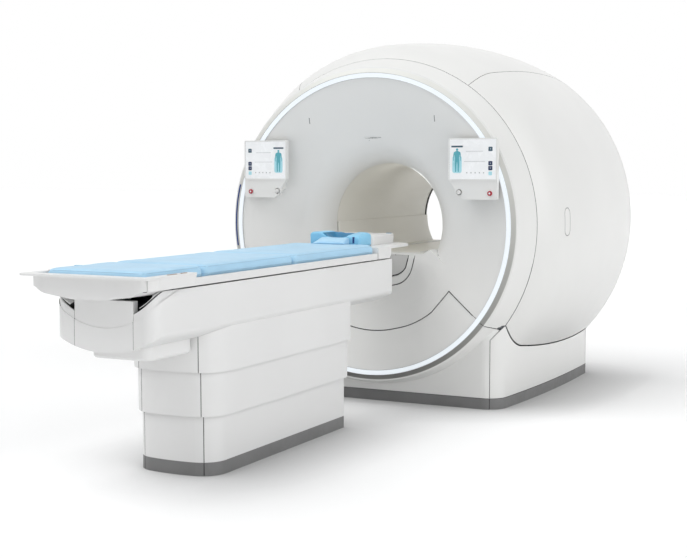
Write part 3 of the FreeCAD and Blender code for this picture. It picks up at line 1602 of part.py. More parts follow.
def make_pad(half, y0, y1, z0, z1):
    """Upholstered pad: drawn in at both ends."""
    sections = [
        pad_section(half, y0, z0, z1, 8.0),
        pad_section(half, y0 + 8.0, z0, z1, 1.5),
        pad_section(half, y0 + 22.0, z0, z1, 0.0),
        pad_section(half, y1 - 22.0, z0, z1, 0.0),
        pad_section(half, y1 - 8.0, z0, z1, 1.5),
        pad_section(half, y1, z0, z1, 8.0),
    ]
    return Part.makeLoft(sections, True, True)


def make_headrest():
    """Head cradle on the head block: a cushion with a trough behind a lower lip."""
    y0 = head_block_y + 4.0
    y1 = connector_start - 4.0
    base = head_block_top + seat_gap
    body = box(-cradle_half, cradle_half, y0, y1, base, cradle_top)
    body = body.makeFillet(14.0, edges_along(body, vec(0, 1, 0), lambda point: point.z > cradle_top - 1.0))
    axis_z = cradle_floor + trough_radius
    hollow_y = y0 + cradle_front
    trough = cylinder(trough_radius, y1 - cradle_back - hollow_y, vec(0, hollow_y, axis_z), vec(0, 1, 0))
    lip = box(-trough_half, trough_half, y0 - 1.0, hollow_y + 1.0, cradle_lip, above_table)
    return body.cut(trough).cut(lip)


def make_neck_pad():
    """Low round-topped pad on the mattress, in front of the head cradle."""
    y1 = head_block_y - 8.0
    y0 = y1 - neck_length
    base = mattress_top + seat_gap
    side = [
        line(vec(-neck_half, y0, base), vec(-neck_half, y1, base)),
        line(vec(-neck_half, y1, base), vec(-neck_half, y1, neck_top - 12.0)),
        arc(vec(-neck_half, y1, neck_top - 12.0), vec(-neck_half, y1 - 0.4 * neck_length, neck_top),
            vec(-neck_half, y0, base + 12.0)),
        line(vec(-neck_half, y0, base + 12.0), vec(-neck_half, y0, base)),
    ]
    return face_of(side).extrude(vec(2.0 * neck_half, 0, 0))


def make_connector_box():
    """Receptacle box for receiver coils at the tabletop's head end."""
    y1 = connector_start + connector_length
    body = rounded_block(-cradle_half, cradle_half, connector_start, y1, head_block_top, connector_top, 24.0)
    bevel = [edge for edge in body.Edges if edge.BoundBox.ZMin > connector_top - 0.1]
    body = body.makeChamfer(6.0, bevel)
    for side in (-1, 1):
        x = side * 0.5 * cradle_half
        low = connector_top - 14.0
        body = body.cut(rounded_block(x - 36, x + 36, y1 - 130, y1 - 60, low, above_table, 6.0))
    return body


def make_floor_duct():
    """Low cable duct along the table's far side, from its base to the gantry."""
    x0 = -column_half_width - 85.0
    x1 = -column_half_width - seat_gap
    body = box(x0, x1, column_head - 290.0, pedestal_front - seat_gap, 0, 45)
    upper = edges_along(body, vec(0, 1, 0), lambda point: point.z > 44.0)
    return body.makeFillet(12.0, upper)


def group(*shapes):
    """Several solids that make up one node."""
    solids = []
    for shape in shapes:
        solids.extend(shape.Solids)
    return Part.makeCompound(solids)


def both_sides(shape):
    return group(shape, mirror_x(shape))


def save_gantry():
    save("front_collar", make_collar())
    save("lower_fascia", make_lower_fascia())
    save("light_ring", make_light_ring())
    save("light_ring_channel", make_ring_channel())
    save("front_funnel", make_front_funnel())
    save("lower_funnel_panel", make_lower_funnel_panel())
    save("docking_bezel", make_dock_bezel())
    save("docking_cover", make_dock_cover())
    save("top_cover", make_barrel_cover(180.0 - top_seam_angle, top_seam_angle))
    save("side_covers", both_sides(make_side_cover()))
    save("lifting_plugs", both_sides(make_pill_plug()))
    save("pedestal_panels", both_sides(make_lower_side_panel()))
    save("rear_cover", make_rear_cover())
    save("pedestal_rear_panel", make_rear_panel())
    save("gantry_kick", group(make_kick_front(), make_kick_rear(), both_sides(make_kick_side())))
    save("base_frame", make_base_frame())
    save("cover_hoops", group(make_front_hoop(), make_rear_hoop()))
    save("magnet_vessel", make_magnet())
    save("cold_head", make_cold_head())
    save("magnet_feet", make_magnet_feet())
    save("gradient_coil", make_gradient_coil())
    save("body_coil", make_body_coil())
    save("bore_liner", make_bore_liner())
    save("patient_bridge", make_bridge())
    save("slide_strips", group(slide_strip(-1, 0.0, 0.0), slide_strip(1, 0.0, 0.0)))
    save("panel_housings", both_sides(make_panel_housing().fuse(make_panel_bracket())))
    save("panel_screens", both_sides(make_screen()))
    for name, shape in (("stop_button", make_stop_button()), ("speed_knob", make_knob())):
        save(name + "_right", shape)
        save(name + "_left", mirror_x(shape))


def tier(grow, z0, z1):
    return group(make_shroud(grow, z0, z1), make_end_panel(grow, z0, z1))


def make_upper_tier():
    """The tallest shroud tier, cut to the housing's underside."""
    above = housing_solid(-seat_gap)
    pieces = tier(upper_grow, middle_tier_top, frame_low - 5.0).Solids
    return group(*[largest(piece.cut(above)) for piece in pieces])


def save_column():
    save("floor_duct", make_floor_duct())
    save("table_base", make_table_base())
    save("table_kick", tier(0.0, 0.0, kick_height))
    save("lower_tier", tier(0.0, kick_height, lower_tier_top + tier_overlap))
    save("lift_motor", make_lift_motor())
    save("middle_lift", make_middle_lift())
    save("middle_tier", tier(middle_grow, lower_tier_top, middle_tier_top + tier_overlap))
    save("upper_tier", make_upper_tier())


def save_tabletop():
    save("table_housing", make_housing())
    save("housing_nose", make_nose_block())
    save("belly_cover", make_belly())
    save("table_frame", make_table_frame())
    save("guide_rails", make_guide_rails())
    save("drive_pulley", make_drive_pulley())
    save("idler_pulley", make_idler_pulley())
    save("drive_belt", make_belt())
    save("drive_motor", make_drive_motor())
    save("support_roller", make_support_roller())
    save("tabletop_deck", make_deck())
    save("runner_blocks", make_runner_blocks())
    save("belt_clamp", make_belt_clamp())
    save("tabletop_head", make_head_end())
    save("foot_cover", make_foot_cover())
    pad_low = deck_top + seat_gap
    pads = {
        "mattress_foot": (tray_start + 4.0, foot_pad_end - pad_gap),
        "mattress_middle": (foot_pad_end + pad_gap, middle_pad_end - pad_gap),
        "mattress_head": (middle_pad_end + pad_gap, head_block_y),
    }
    for name, (y0, y1) in pads.items():
        save(name, make_pad(pad_half, y0, y1, pad_low, mattress_top))
    save("headrest", make_headrest())
    save("neck_pad", make_neck_pad())
    save("connector_box", make_connector_box())




def main():
    os.makedirs("parts", exist_ok=True)
    save_gantry()
    save_column()
    save_tabletop()


main()
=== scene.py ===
import json
import math

import bmesh
import bpy
import numpy as np
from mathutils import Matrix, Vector
from mathutils.bvhtree import BVHTree


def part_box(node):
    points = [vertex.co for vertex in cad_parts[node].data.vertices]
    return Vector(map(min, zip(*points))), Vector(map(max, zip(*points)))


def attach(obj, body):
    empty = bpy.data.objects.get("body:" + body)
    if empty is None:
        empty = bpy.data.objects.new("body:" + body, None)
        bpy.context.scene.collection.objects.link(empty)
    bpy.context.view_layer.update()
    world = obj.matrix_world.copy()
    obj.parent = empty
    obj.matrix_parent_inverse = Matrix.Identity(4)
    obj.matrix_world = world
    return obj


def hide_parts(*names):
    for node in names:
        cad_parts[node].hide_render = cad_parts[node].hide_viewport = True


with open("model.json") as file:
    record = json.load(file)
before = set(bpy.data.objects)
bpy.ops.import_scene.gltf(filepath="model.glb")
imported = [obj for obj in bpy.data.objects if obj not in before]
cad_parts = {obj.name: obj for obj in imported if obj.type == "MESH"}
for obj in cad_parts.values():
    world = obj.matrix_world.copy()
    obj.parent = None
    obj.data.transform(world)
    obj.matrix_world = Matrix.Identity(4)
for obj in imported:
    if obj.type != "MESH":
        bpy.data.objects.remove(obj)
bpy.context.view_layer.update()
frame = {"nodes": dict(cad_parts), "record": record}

NODES = frame["nodes"]

# Lengths are metres, turns are degrees and colours are linear, unless a name says otherwise.

# ---- camera, solved from the photograph ----------------------------------------------
CAMERA_PLACE = (3.1813, -6.1152, 1.3203)
CAMERA_TURN = 27.04
CAMERA_DROP = 4.84
LENS_MM = 67.5
SENSOR_MM = 36.0
FAR_CLIP = 200.0

# ---- places that several pieces share ------------------------------------------------
SIDES = ((1, "right"), (-1, "left"))
RING_FACE_MM = 415.0
BORE_HEIGHT = 1.010
BORE_RADIUS = 0.350
BORE_END_MM = 1628.0
RING_RADIUS = 0.850
FOOT_END_MM = -2410.0
AHEAD_MM = -500.0
CAD_CREASE = 28.0
LEDGE_CREASE = 30.0

# ---- seams ---------------------------------------------------------------------------
# Seam walls and groove facets get a dark material: painted shade in the gaps between covers.
SHADED_SLOTS = ("cover_white", "tier_white", "table_white", "dock_grey", "kick_grey")
# How far a face looks for its neighbour, and the broadest face that gets painted seam shade in a seam or a
# groove.
SEAM_REACH = 0.0085
SEAM_BREADTH = 0.012
GROOVE_BREADTH = 0.0042
RAY_LIFT = 0.00005
SPOTS_PER_METRE = 2e4
GROOVED = ("foot_cover", "housing_nose")
# Nodes whose faces get no painted seam shade where they look up (1) or down (-1).
OPEN_SIDES = {"belly_cover": 1.0, "upper_tier": 1.0, "table_housing": -1.0}
OPEN_TILT = 0.3
# Dark beads of painted seam shade: name, covers, radius, half width, deepest place in mm, lowest and
# highest point.
BEADS = (
    ("shade_bead_chevron", ("lower_funnel_panel",), 0.0026, 0.9, 400, 0.1, 0.78),
    ("shade_bead_docking", ("docking_cover", "docking_bezel"), 0.0024, 0.5, 500, 0.5, 0.818),
    ("shade_bead_collar", ("front_collar",), 0.0015, 1.2, 180, 0.2, 0.8),
)
BEAD_FRONT_MM = -60
BEAD_TILT = -0.2
BEAD_SIDES = 6
BEAD_OVERLAP = 0.3
SHORTEST_BEAD = 0.0005
RING_CHANNEL = (0.80, 0.88)

# ---- the hollow in the housing's foot end, as the CAD cuts it ------------------------
SCOOP_RADIUS = 0.350
SCOOP_HEIGHT = 1.081
SCOOP_RISE = 0.3
COVER_LOWEST = 0.822
COVER_RISE = 0.68
COVER_BEND = 0.210
LEDGE_THICKNESS = 0.0025
# First place and gap of the ledge's rows of points, from the foot end and from the middle.
LEDGE_ALONG = (0.0075, 0.008)
LEDGE_ACROSS = (0.172, 0.0088)
LEDGE_ROWS = 9

# ---- soft pieces ---------------------------------------------------------------------
SWELL_FRAMES = 20
CLOTH = {"quality": 5, "mass": 0.4, "tension_stiffness": 12.0, "compression_stiffness": 12.0,
         "bending_stiffness": 0.6, "use_pressure": True}
MATTRESS_CORNER = 0.022
# Steepness and depth of the faces that count as a mattress section's end; painted shade goes on the ends
# where sections meet.
END_TILT = 0.55
END_DEPTH = 0.006
WELT_LEVELS = (0.018, 0.046)
WELT_RADIUS = 0.0011
CRADLE_HOLLOW = 0.068

# ---- wall panels' screens and buttons ------------------------------------------------
SCREEN_FACE_MM = -38.2
FIGURE_X = 0.555
FIGURE_FOOT = 1.310
FIGURE_NECK = 1.424
KEY_X = 0.746
BUTTON_X = 0.743
BUTTON_Z = 1.195
# Half width and share of the height of a lying figure, from the neck down and up the leg.
BODY_HALF = ((0.004, 0.99), (0.010, 0.96), (0.018, 0.93), (0.0205, 0.86), (0.022, 0.70), (0.021, 0.53),
             (0.0185, 0.51), (0.0180, 0.66), (0.0160, 0.82), (0.0120, 0.66), (0.0130, 0.52), (0.0125, 0.28),
             (0.0110, 0.08), (0.0115, 0.0), (0.0040, 0.0), (0.0035, 0.10), (0.0030, 0.30), (0.0010, 0.46))

# ---- small marks ---------------------------------------------------------------------
# How deep a laid plate starts, the share of its thickness below its chamfer, and its top's size.
PLATE_SINK = 0.0006
PLATE_SHOULDER = 0.7
PLATE_TOP = 0.94
MARK_X = 0.390
MARK_Z = 1.602
MARK_HALF = (0.0022, 0.017)
# The slot on the disc: its bent end, then the straight stretch by its start and length.
SLOT_END = (-0.044, 1.486)
SLOT_START = (-0.034, 1.504)
SLOT_LENGTH = 0.0682
SLOT_STEPS = 11

# ---- stage ---------------------------------------------------------------------------
WORLD_LEVEL = 0.44
FLOOR_REACH = 60.0
FLOOR_WHITE = 0.95
FLOOR_GLOW = 0.10
# How far the painted contact shadow in the floor's colour reaches, how dark it gets, and how open the floor
# is there and beyond.
CONTACT_REACH = 0.55
CONTACT_LEVEL = 0.58
CONTACT_SPAN = (0.5, 1.0)
# Name, direction, strength and spread.
SUNS = (
    ("over_left", (0.5, 0.3, -1.0), 1.5, 48.0),
    ("right", (-1.0, 0.25, -0.35), 1.12, 60.0),
    ("front", (0.0, 1.0, -0.4), 0.12, 50.0),
)
BORE_LIGHTS_MM = (560, 1150)
BORE_LIGHT_HEIGHT = 1.20
BORE_LIGHT_WATTS = 0.40
BORE_LIGHT_RADIUS = 0.06

# ---- colours -------------------------------------------------------------------------
COVER_WHITE = (0.80, 0.80, 0.785)
TABLE_WHITE = (0.775, 0.775, 0.77)
KICK_GREY = (0.19, 0.19, 0.19)
PAD_BLUE = (0.42, 0.68, 0.88)
CRADLE_BLUE = (0.26, 0.60, 0.84)
DEEP_BLUE = (0.02, 0.20, 0.38)
# Painted shade on the mattress sections' ends where they meet.
GAP_SHADE_BLUE = (0.03, 0.16, 0.32)
NAVY = (0.01, 0.04, 0.19)
# Radii between which the painted shade on the edge outside the light ring, grey and darker towards the
# floor, turns into cover lacquer.
SHADED_EDGE_RADII = (0.8755, 0.8795)


def place(ring_y):
    """Metres along Y in the model for a distance in mm from the light ring's face."""
    return (ring_y + RING_FACE_MM) / 1000.0


def box_of(node):
    """Both corners of a CAD node's box."""
    low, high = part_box(node)
    return Vector(low), Vector(high)


# ---- material helpers ----------------------------------------------------------------
def make_node(tree, kind, inputs=None, **settings):
    """A shader node with its settings and the constant values on its sockets."""
    node = tree.nodes.new("ShaderNode" + kind)
    for key, value in settings.items():
        setattr(node, key, value)
    for key, value in (inputs or {}).items():
        node.inputs[key].default_value = value
    return node


def new_material(name):
    """A node material, with its tree and its shader."""
    material = bpy.data.materials.new(name)
    material.use_nodes = True
    tree = material.node_tree
    return material, tree, tree.nodes["Principled BSDF"]


def noise(tree, scale, detail=3.0, roughness=0.5, stretch=None):
    """Noise in object space, so that it stays on the object."""
    texture = make_node(tree, "TexNoise", {"Scale": scale, "Detail": detail, "Roughness": roughness})
    source = make_node(tree, "TexCoord").outputs["Object"]
    if stretch:
        mapping = make_node(tree, "Mapping", {"Scale": stretch})
        tree.links.new(source, mapping.inputs["Vector"])
        source = mapping.outputs["Vector"]
    tree.links.new(source, texture.inputs["Vector"])
    return texture.outputs["Fac"]


def remap(tree, source, span, levels):
    """A number that goes from one level to the other while the source crosses the span."""
    node = make_node(tree, "MapRange", {"From Min": span[0], "From Max": span[1],
                                        "To Min": levels[0], "To Max": levels[1]})
    tree.links.new(source, node.inputs["Value"])
    return node.outputs["Result"]


def shade(colour, factor):
    """The colour made darker or lighter."""
    return tuple(min(1.0, channel * factor) for channel in colour)


def tint(tree, source, colour, dark, light):
    """The colour, following the noise between two shades of itself."""
    node = make_node(tree, "ValToRGB")
    for element, position, factor in zip(node.color_ramp.elements, (0.35, 0.65), (dark, light)):
        element.position = position
        element.color = (*shade(colour, factor), 1.0)
    tree.links.new(source, node.inputs["Fac"])
    return node.outputs["Color"]


def mottle(tree, shader, source, colour, dark, light):
    """Base colour that follows the noise."""
    tree.links.new(tint(tree, source, colour, dark, light), shader.inputs["Base Color"])


def gloss(tree, shader, source, low, high):
    """Roughness that follows the noise."""
    tree.links.new(remap(tree, source, (0.3, 0.7), (low, high)), shader.inputs["Roughness"])


def bump(tree, above, source, strength, distance):
    """Relief on the normal of the shader or of the relief above it."""
    node = make_node(tree, "Bump", {"Strength": strength, "Distance": distance})
    tree.links.new(source, node.inputs["Height"])
    tree.links.new(node.outputs["Normal"], above.inputs["Normal"])
    return node


# ---- materials -----------------------------------------------------------------------
def lacquer(name, colour, roughness=0.34, coat=0.12):
    """Sprayed cover lacquer: faint orange peel, slight gloss and tone changes."""
    material, tree, shader = new_material(name)
    mottle(tree, shader, noise(tree, 1.7, 2.0), colour, 0.985, 1.01)
    gloss(tree, shader, noise(tree, 9.0), roughness - 0.03, roughness + 0.04)
    shader.inputs["Coat Weight"].default_value = coat
    shader.inputs["Coat Roughness"].default_value = 0.22
    bump(tree, shader, noise(tree, 420.0, 2.0), 0.05, 0.0004)
    return material


def lacquer_with_painted_shade(name, colour, grey, inner, outer):
    """Cover lacquer with painted shade: a grey edge round the light ring, darker towards the floor."""
    material = lacquer(name, colour)
    tree = material.node_tree
    shader = tree.nodes["Principled BSDF"]
    paint = shader.inputs["Base Color"].links[0].from_socket
    split = make_node(tree, "SeparateXYZ")
    tree.links.new(make_node(tree, "TexCoord").outputs["Object"], split.inputs["Vector"])
    height = make_node(tree, "Math", {1: BORE_HEIGHT}, operation="SUBTRACT")
    tree.links.new(split.outputs["Z"], height.inputs[0])
    spoke = make_node(tree, "CombineXYZ")
    tree.links.new(split.outputs["X"], spoke.inputs["X"])
    tree.links.new(height.outputs["Value"], spoke.inputs["Z"])
    radius = make_node(tree, "VectorMath", operation="LENGTH")
    tree.links.new(spoke.outputs["Vector"], radius.inputs[0])
    # Painted shade: the grey band round the light ring, darker towards the floor and lighter towards the
    # top.
    edge = remap(tree, radius.outputs["Value"], (inner, outer), (1.0, 0.0))
    level = remap(tree, height.outputs["Value"], (-RING_RADIUS, RING_RADIUS), (0.28, 1.35))
    edge_shade_band = make_node(tree, "VectorMath", {0: grey}, operation="SCALE")
    tree.links.new(level, edge_shade_band.inputs["Scale"])
    mix = make_node(tree, "Mix", data_type="RGBA")
    tree.links.new(edge, mix.inputs["Factor"])
    tree.links.new(paint, mix.inputs["A"])
    tree.links.new(edge_shade_band.outputs["Vector"], mix.inputs["B"])
    tree.links.new(mix.outputs["Result"], shader.inputs["Base Color"])
    return material


def moulded_plastic(name, colour, roughness=0.5, grain=900.0, depth=0.0003):
    """Moulded plastic with a fine spark texture."""
    material, tree, shader = new_material(name)
    mottle(tree, shader, noise(tree, 6.0), colour, 0.95, 1.04)
    gloss(tree, shader, noise(tree, 30.0), roughness - 0.05, roughness + 0.06)
    bump(tree, shader, noise(tree, grain, 2.0), 0.2, depth)
    return material


def metal(name, colour, roughness=0.32, stretch=(1, 1, 60)):
    """Machined or brushed metal: fine lines along one direction."""
    material, tree, shader = new_material(name)
    lines = noise(tree, 40.0, 4.0, 0.6, stretch)
    mottle(tree, shader, lines, colour, 0.88, 1.12)
    gloss(tree, shader, lines, roughness - 0.08, roughness + 0.1)
    shader.inputs["Metallic"].default_value = 1.0
    bump(tree, shader, lines, 0.08, 0.0003)
    return material


def rubber(name, colour):
    """Dull rubber with a fine grain."""
    material, tree, shader = new_material(name)
    mottle(tree, shader, noise(tree, 20.0), colour, 0.8, 1.2)
    gloss(tree, shader, noise(tree, 60.0), 0.6, 0.8)
    bump(tree, shader, noise(tree, 1500.0, 2.0), 0.25, 0.0003)
    return material


def diffuser(name, colour, strength):
    """The lit translucent ring: bright, with a faint milky change round it."""
    material, tree, shader = new_material(name)
    shader.inputs["Base Color"].default_value = (*shade(colour, 0.27), 1.0)
    shader.inputs["Roughness"].default_value = 0.25
    tree.links.new(tint(tree, noise(tree, 5.0), colour, 0.97, 1.0), shader.inputs["Emission Color"])
    shader.inputs["Emission Strength"].default_value = strength
    return material


def lit_screen(name, colour, strength):
    """A faintly lit screen pane with a smooth surface."""
    material = moulded_plastic(name, colour, 0.25, 60.0, 0.0001)
    shader = material.node_tree.nodes["Principled BSDF"]
    shader.inputs["Emission Color"].default_value = (*colour, 1.0)
    shader.inputs["Emission Strength"].default_value = strength
    return material


def coated_fabric(name, colour):
    """Wipe-clean coated fabric: fine leather-like pebble and creases under a soft sheen."""
    material, tree, shader = new_material(name)
    mottle(tree, shader, noise(tree, 7.0), colour, 0.96, 1.03)
    gloss(tree, shader, noise(tree, 40.0), 0.42, 0.56)
    shader.inputs["Sheen Weight"].default_value = 0.15
    shader.inputs["Sheen Roughness"].default_value = 0.4
    cells = make_node(tree, "TexVoronoi", {"Scale": 700.0})
    tree.links.new(make_node(tree, "TexCoord").outputs["Object"], cells.inputs["Vector"])
    pebble = bump(tree, shader, cells.outputs["Distance"], 0.12, 0.0004)
    bump(tree, pebble, noise(tree, 14.0, 4.0), 0.12, 0.002)
    return material


MATERIALS = {
    "cover_white": lacquer("cover_lacquer", COVER_WHITE),
    "light_diffuser": diffuser("ring_light", (0.90, 0.955, 1.0), 0.76),
    "channel_aluminium": metal("channel_metal", (0.55, 0.56, 0.57)),
    "dock_grey": moulded_plastic("dock_cover_plastic", (0.55, 0.55, 0.54), 0.55),
    "kick_grey": moulded_plastic("kick_plastic", KICK_GREY, 0.5),
    "frame_steel": moulded_plastic("frame_powder_coat", (0.40, 0.42, 0.45), 0.45, 500.0),
    "vessel_steel": metal("vessel_metal", (0.58, 0.58, 0.58), 0.36, (1, 60, 1)),
    "cold_head_steel": metal("cold_head_metal", (0.5, 0.5, 0.52)),
    "gradient_resin": moulded_plastic("gradient_resin_cast", (0.42, 0.31, 0.14), 0.4, 120.0),
    "coil_resin": moulded_plastic("coil_laminate", (0.20, 0.28, 0.17), 0.45, 200.0),
    "liner_grey": lacquer("liner_lacquer", (0.78, 0.765, 0.71), 0.42, 0.05),
    "strip_plastic": moulded_plastic("glide_strip_plastic", (0.62, 0.62, 0.60), 0.35),
    "screen_glass": lit_screen("screen_pane", (0.86, 0.87, 0.88), 0.09),
    "stop_red": moulded_plastic("stop_button_plastic", (0.40, 0.012, 0.03), 0.3, 300.0),
    "knob_silver": moulded_plastic("knob_satin", (0.74, 0.74, 0.72), 0.3, 300.0),
    "duct_grey": moulded_plastic("duct_plastic", (0.24, 0.24, 0.24), 0.55),
    "tier_white": lacquer("tier_lacquer", TABLE_WHITE, 0.36, 0.08),
    "motor_black": moulded_plastic("motor_paint", (0.03, 0.03, 0.035), 0.45, 300.0),
    "table_white": lacquer("table_lacquer", TABLE_WHITE, 0.34, 0.10),
    "rail_steel": metal("rail_metal", (0.62, 0.62, 0.64), 0.24, (60, 1, 60)),
    "belt_rubber": rubber("belt_rubber_black", (0.025, 0.025, 0.027)),
    "bracket_aluminium": metal("bracket_metal", (0.62, 0.63, 0.64), 0.34, (1, 60, 1)),
    "pad_blue": coated_fabric("mattress_fabric", PAD_BLUE),
    "cushion_blue": coated_fabric("cradle_fabric", CRADLE_BLUE),
    "welt_blue": coated_fabric("welt_fabric", shade(PAD_BLUE, 0.8)),
    "lining_blue": coated_fabric("lining_fabric", DEEP_BLUE),
    "strap_navy": coated_fabric("strap_fabric", NAVY),
    "ui_teal": moulded_plastic("symbol_teal", (0.10, 0.42, 0.50), 0.3),
    "ui_halo": moulded_plastic("symbol_halo", (0.42, 0.74, 0.82), 0.3),
    "ui_slate": moulded_plastic("symbol_slate", (0.05, 0.10, 0.14), 0.3),
    "ui_navy": moulded_plastic("symbol_navy", (0.012, 0.03, 0.09), 0.3),
    "ui_pale": moulded_plastic("symbol_pale", (0.75, 0.80, 0.84), 0.3),
    "ui_grey": moulded_plastic("symbol_grey", (0.52, 0.53, 0.54), 0.3),
    # Painted shade for seam walls, grooves and seam beads; also the dark ring at the bore's rear end.
    "painted_seam_shade": rubber("painted_seam_shade_dark", (0.035, 0.035, 0.037)),
    "seam_grey": rubber("seam_grey_rubber", (0.22, 0.22, 0.22)),
    # Painted shade on the mattress sections' ends where they meet.
    "gap_shade_blue": coated_fabric("gap_shade_fabric", GAP_SHADE_BLUE),
    "strip_tan": moulded_plastic("strip_tan_plastic", (0.42, 0.33, 0.29), 0.5),
    "strap_blue": coated_fabric("tab_fabric", (0.08, 0.42, 0.66)),
    # Painted shade round the light ring on the collar and the lower fascia.
    "collar_painted_shade": lacquer_with_painted_shade("collar_lacquer_painted_shade", COVER_WHITE, (0.60, 0.60, 0.57), *SHADED_EDGE_RADII),
}
# CAD nodes whose material isn't the one of their slot.
DRESSED = {"front_collar": "collar_painted_shade", "lower_fascia": "collar_painted_shade"}


# ---- mesh helpers --------------------------------------------------------------------
def show(name, mesh):
    """A new object in the scene that holds the mesh."""
    piece = bpy.data.objects.new(name, mesh)
    bpy.context.scene.collection.objects.link(piece)
    return piece


def dress(piece, material, body):
    """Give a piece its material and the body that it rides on."""
    piece.data.materials.append(MATERIALS[material])
    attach(piece, body)


def smooth(mesh, crease):
    """Smooth faces, with crisp edges where they turn by more than the crease."""
    mesh.shade_smooth()
    mesh.set_sharp_from_angle(angle=math.radians(crease))


def add_rings(work, rings):
    """Walls through rings that hold the same number of points, and a face at both ends."""
    rows = [[work.verts.new(point) for point in ring] for ring in rings]
    for lower, upper in zip(rows, rows[1:]):
        for index in range(len(lower)):
            follower = (index + 1) % len(lower)
            work.faces.new((lower[index], lower[follower], upper[follower], upper[index]))
    work.faces.new(list(reversed(rows[0])))
    work.faces.new(rows[-1])


def built(name, work):
    """The piece that a finished bmesh makes, with its faces turned outward."""
    bmesh.ops.recalc_face_normals(work, faces=work.faces)
    mesh = bpy.data.meshes.new(name)
    work.to_mesh(mesh)
    work.free()
    return show(name, mesh)


def ring_solid(name, rings):
    """A closed piece through rings that hold the same number of points."""
    work = bmesh.new()
    add_rings(work, rings)
    return built(name, work)


def tube(name, line, radius, closed=False):
    """A thin round cord of mesh along a line of points."""
    curve = bpy.data.curves.new(name, "CURVE")
    curve.dimensions = "3D"
    spline = curve.splines.new("POLY")
    spline.points.add(len(line) - 1)
    for target, point in zip(spline.points, line):
        target.co = (*point, 1.0)
    spline.use_cyclic_u = closed
    curve.bevel_depth = radius
    curve.bevel_resolution = 2
    curve.use_fill_caps = not closed
    holder = show(name + "_line", curve)
    graph = bpy.context.evaluated_depsgraph_get()
    mesh = bpy.data.meshes.new_from_object(holder.evaluated_get(graph))
    bpy.data.objects.remove(holder)
    mesh.materials.clear()
    mesh.shade_smooth()
    return show(name, mesh)


def rounded_box(left, right, bottom, top, corner, steps):
    """Points round a rectangle with rounded corners, from its four sides."""
    centres = ((right - corner, bottom + corner), (right - corner, top - corner),
               (left + corner, top - corner), (left + corner, bottom + corner))
    points = []
    for index, (x, z) in enumerate(centres):
        for step in range(steps + 1):
            angle = math.radians(-90.0 + 90.0 * index + 90.0 * step / steps)
            points.append((x + corner * math.cos(angle), z + corner * math.sin(angle)))
    return points


def rounded_outline(x, z, half_x, half_z, corner, steps=4):
    """Points round a rectangle with rounded corners, from its middle."""
    return rounded_box(x - half_x, x + half_x, z - half_z, z + half_z, corner, steps)


def round_outline(x, z, radius, steps):
    """Points round a circle, with this many steps in each quarter."""
    return rounded_outline(x, z, radius, radius, radius, steps)


def bore_arc(radius, first, last, steps):
    """X and Z of points on an arc round the bore's axis."""
    turns = [math.radians(first + (last - first) * step / steps) for step in range(steps + 1)]
    return [(radius * math.cos(turn), BORE_HEIGHT + radius * math.sin(turn)) for turn in turns]


def front_points(node, spots):
    """Where level rays from the front, one for each x and z, meet a cover of the gantry."""
    tree = BVHTree.FromObject(NODES[node], bpy.context.evaluated_depsgraph_get())
    rearward = Vector((0.0, 1.0, 0.0))
    hits = [tree.ray_cast(Vector((x, place(AHEAD_MM), z)), rearward)[0] for x, z in spots]
    return [hit for hit in hits if hit is not None]


def rectangle(x, y, half_x, half_y):
    """The four corners of a rectangle about a point."""
    return [(x + sx * half_x, y + sy * half_y) for sx, sy in ((-1, -1), (1, -1), (1, 1), (-1, 1))]


def laid_plate(name, corners, thickness, material, body):
    """A thin plate laid on a surface: its corners and its thickness out of the surface."""
    points = [Vector(corner) for corner in corners]
    normal = (points[1] - points[0]).cross(points[2] - points[0]).normalized()
    centre = sum(points, Vector()) / len(points)
    rows = [[point - PLATE_SINK * normal for point in points],
            [point + PLATE_SHOULDER * thickness * normal for point in points],
            [centre.lerp(point, PLATE_TOP) + thickness * normal for point in points]]
    dress(ring_solid(name, rows), material, body)


# ---- CAD nodes and their seams -------------------------------------------------------
def dress_cad_nodes():
    """Give every CAD node its material, smooth faces and crisp edges."""
    for entry in frame["record"]["subparts"]:
        mesh = NODES[entry["node"]].data
        mesh.materials.clear()
        mesh.materials.append(MATERIALS[DRESSED.get(entry["node"], entry["material_slot"])])
        smooth(mesh, CAD_CREASE)


def breadth(mesh, polygon):
    """Twice the area over the longest side: how wide a sliver is."""
    sides = [(mesh.vertices[a].co - mesh.vertices[b].co).length for a, b in polygon.edge_keys]
    return 2.0 * polygon.area / max(max(sides), 1e-9)


def shared_edges(mesh, polygon):
    """The polygon's edges, each named by its ends' places so that neighbours share them."""
    spots = {}
    for index in polygon.vertices:
        spots[index] = tuple(round(value * SPOTS_PER_METRE) for value in mesh.vertices[index].co)
    return {tuple(sorted((spots[a], spots[b]))): (a, b) for a, b in polygon.edge_keys}


def cad_surface():
    """A search tree of every CAD node's faces."""
    points, faces = [], []
    for node in NODES.values():
        first = len(points)
        points.extend(node.matrix_world @ vertex.co for vertex in node.data.vertices)
        faces.extend([first + index for index in polygon.vertices] for polygon in node.data.polygons)
    return BVHTree.FromPolygons(points, faces)


def looks_across(tree, mesh, polygon):
    """Whether two or more rays from the face meet a surface within a seam's reach."""
    starts = [polygon.center]
    starts += [mesh.vertices[index].co.lerp(polygon.center, 0.45) for index in polygon.vertices]
    lift = RAY_LIFT * polygon.normal
    hits = [tree.ray_cast(start + lift, polygon.normal, SEAM_REACH)[0] is not None for start in starts]
    return sum(hits) >= 2


def shade_groove_facets(mesh, shaded_edges):
    """Take the painted seam shade on to the slim facets that round a shaded face's edge."""
    for polygon in mesh.polygons:
        slim = polygon.material_index == 0 and breadth(mesh, polygon) < GROOVE_BREADTH
        if slim and shaded_edges.intersection(shared_edges(mesh, polygon)):
            polygon.material_index = 1


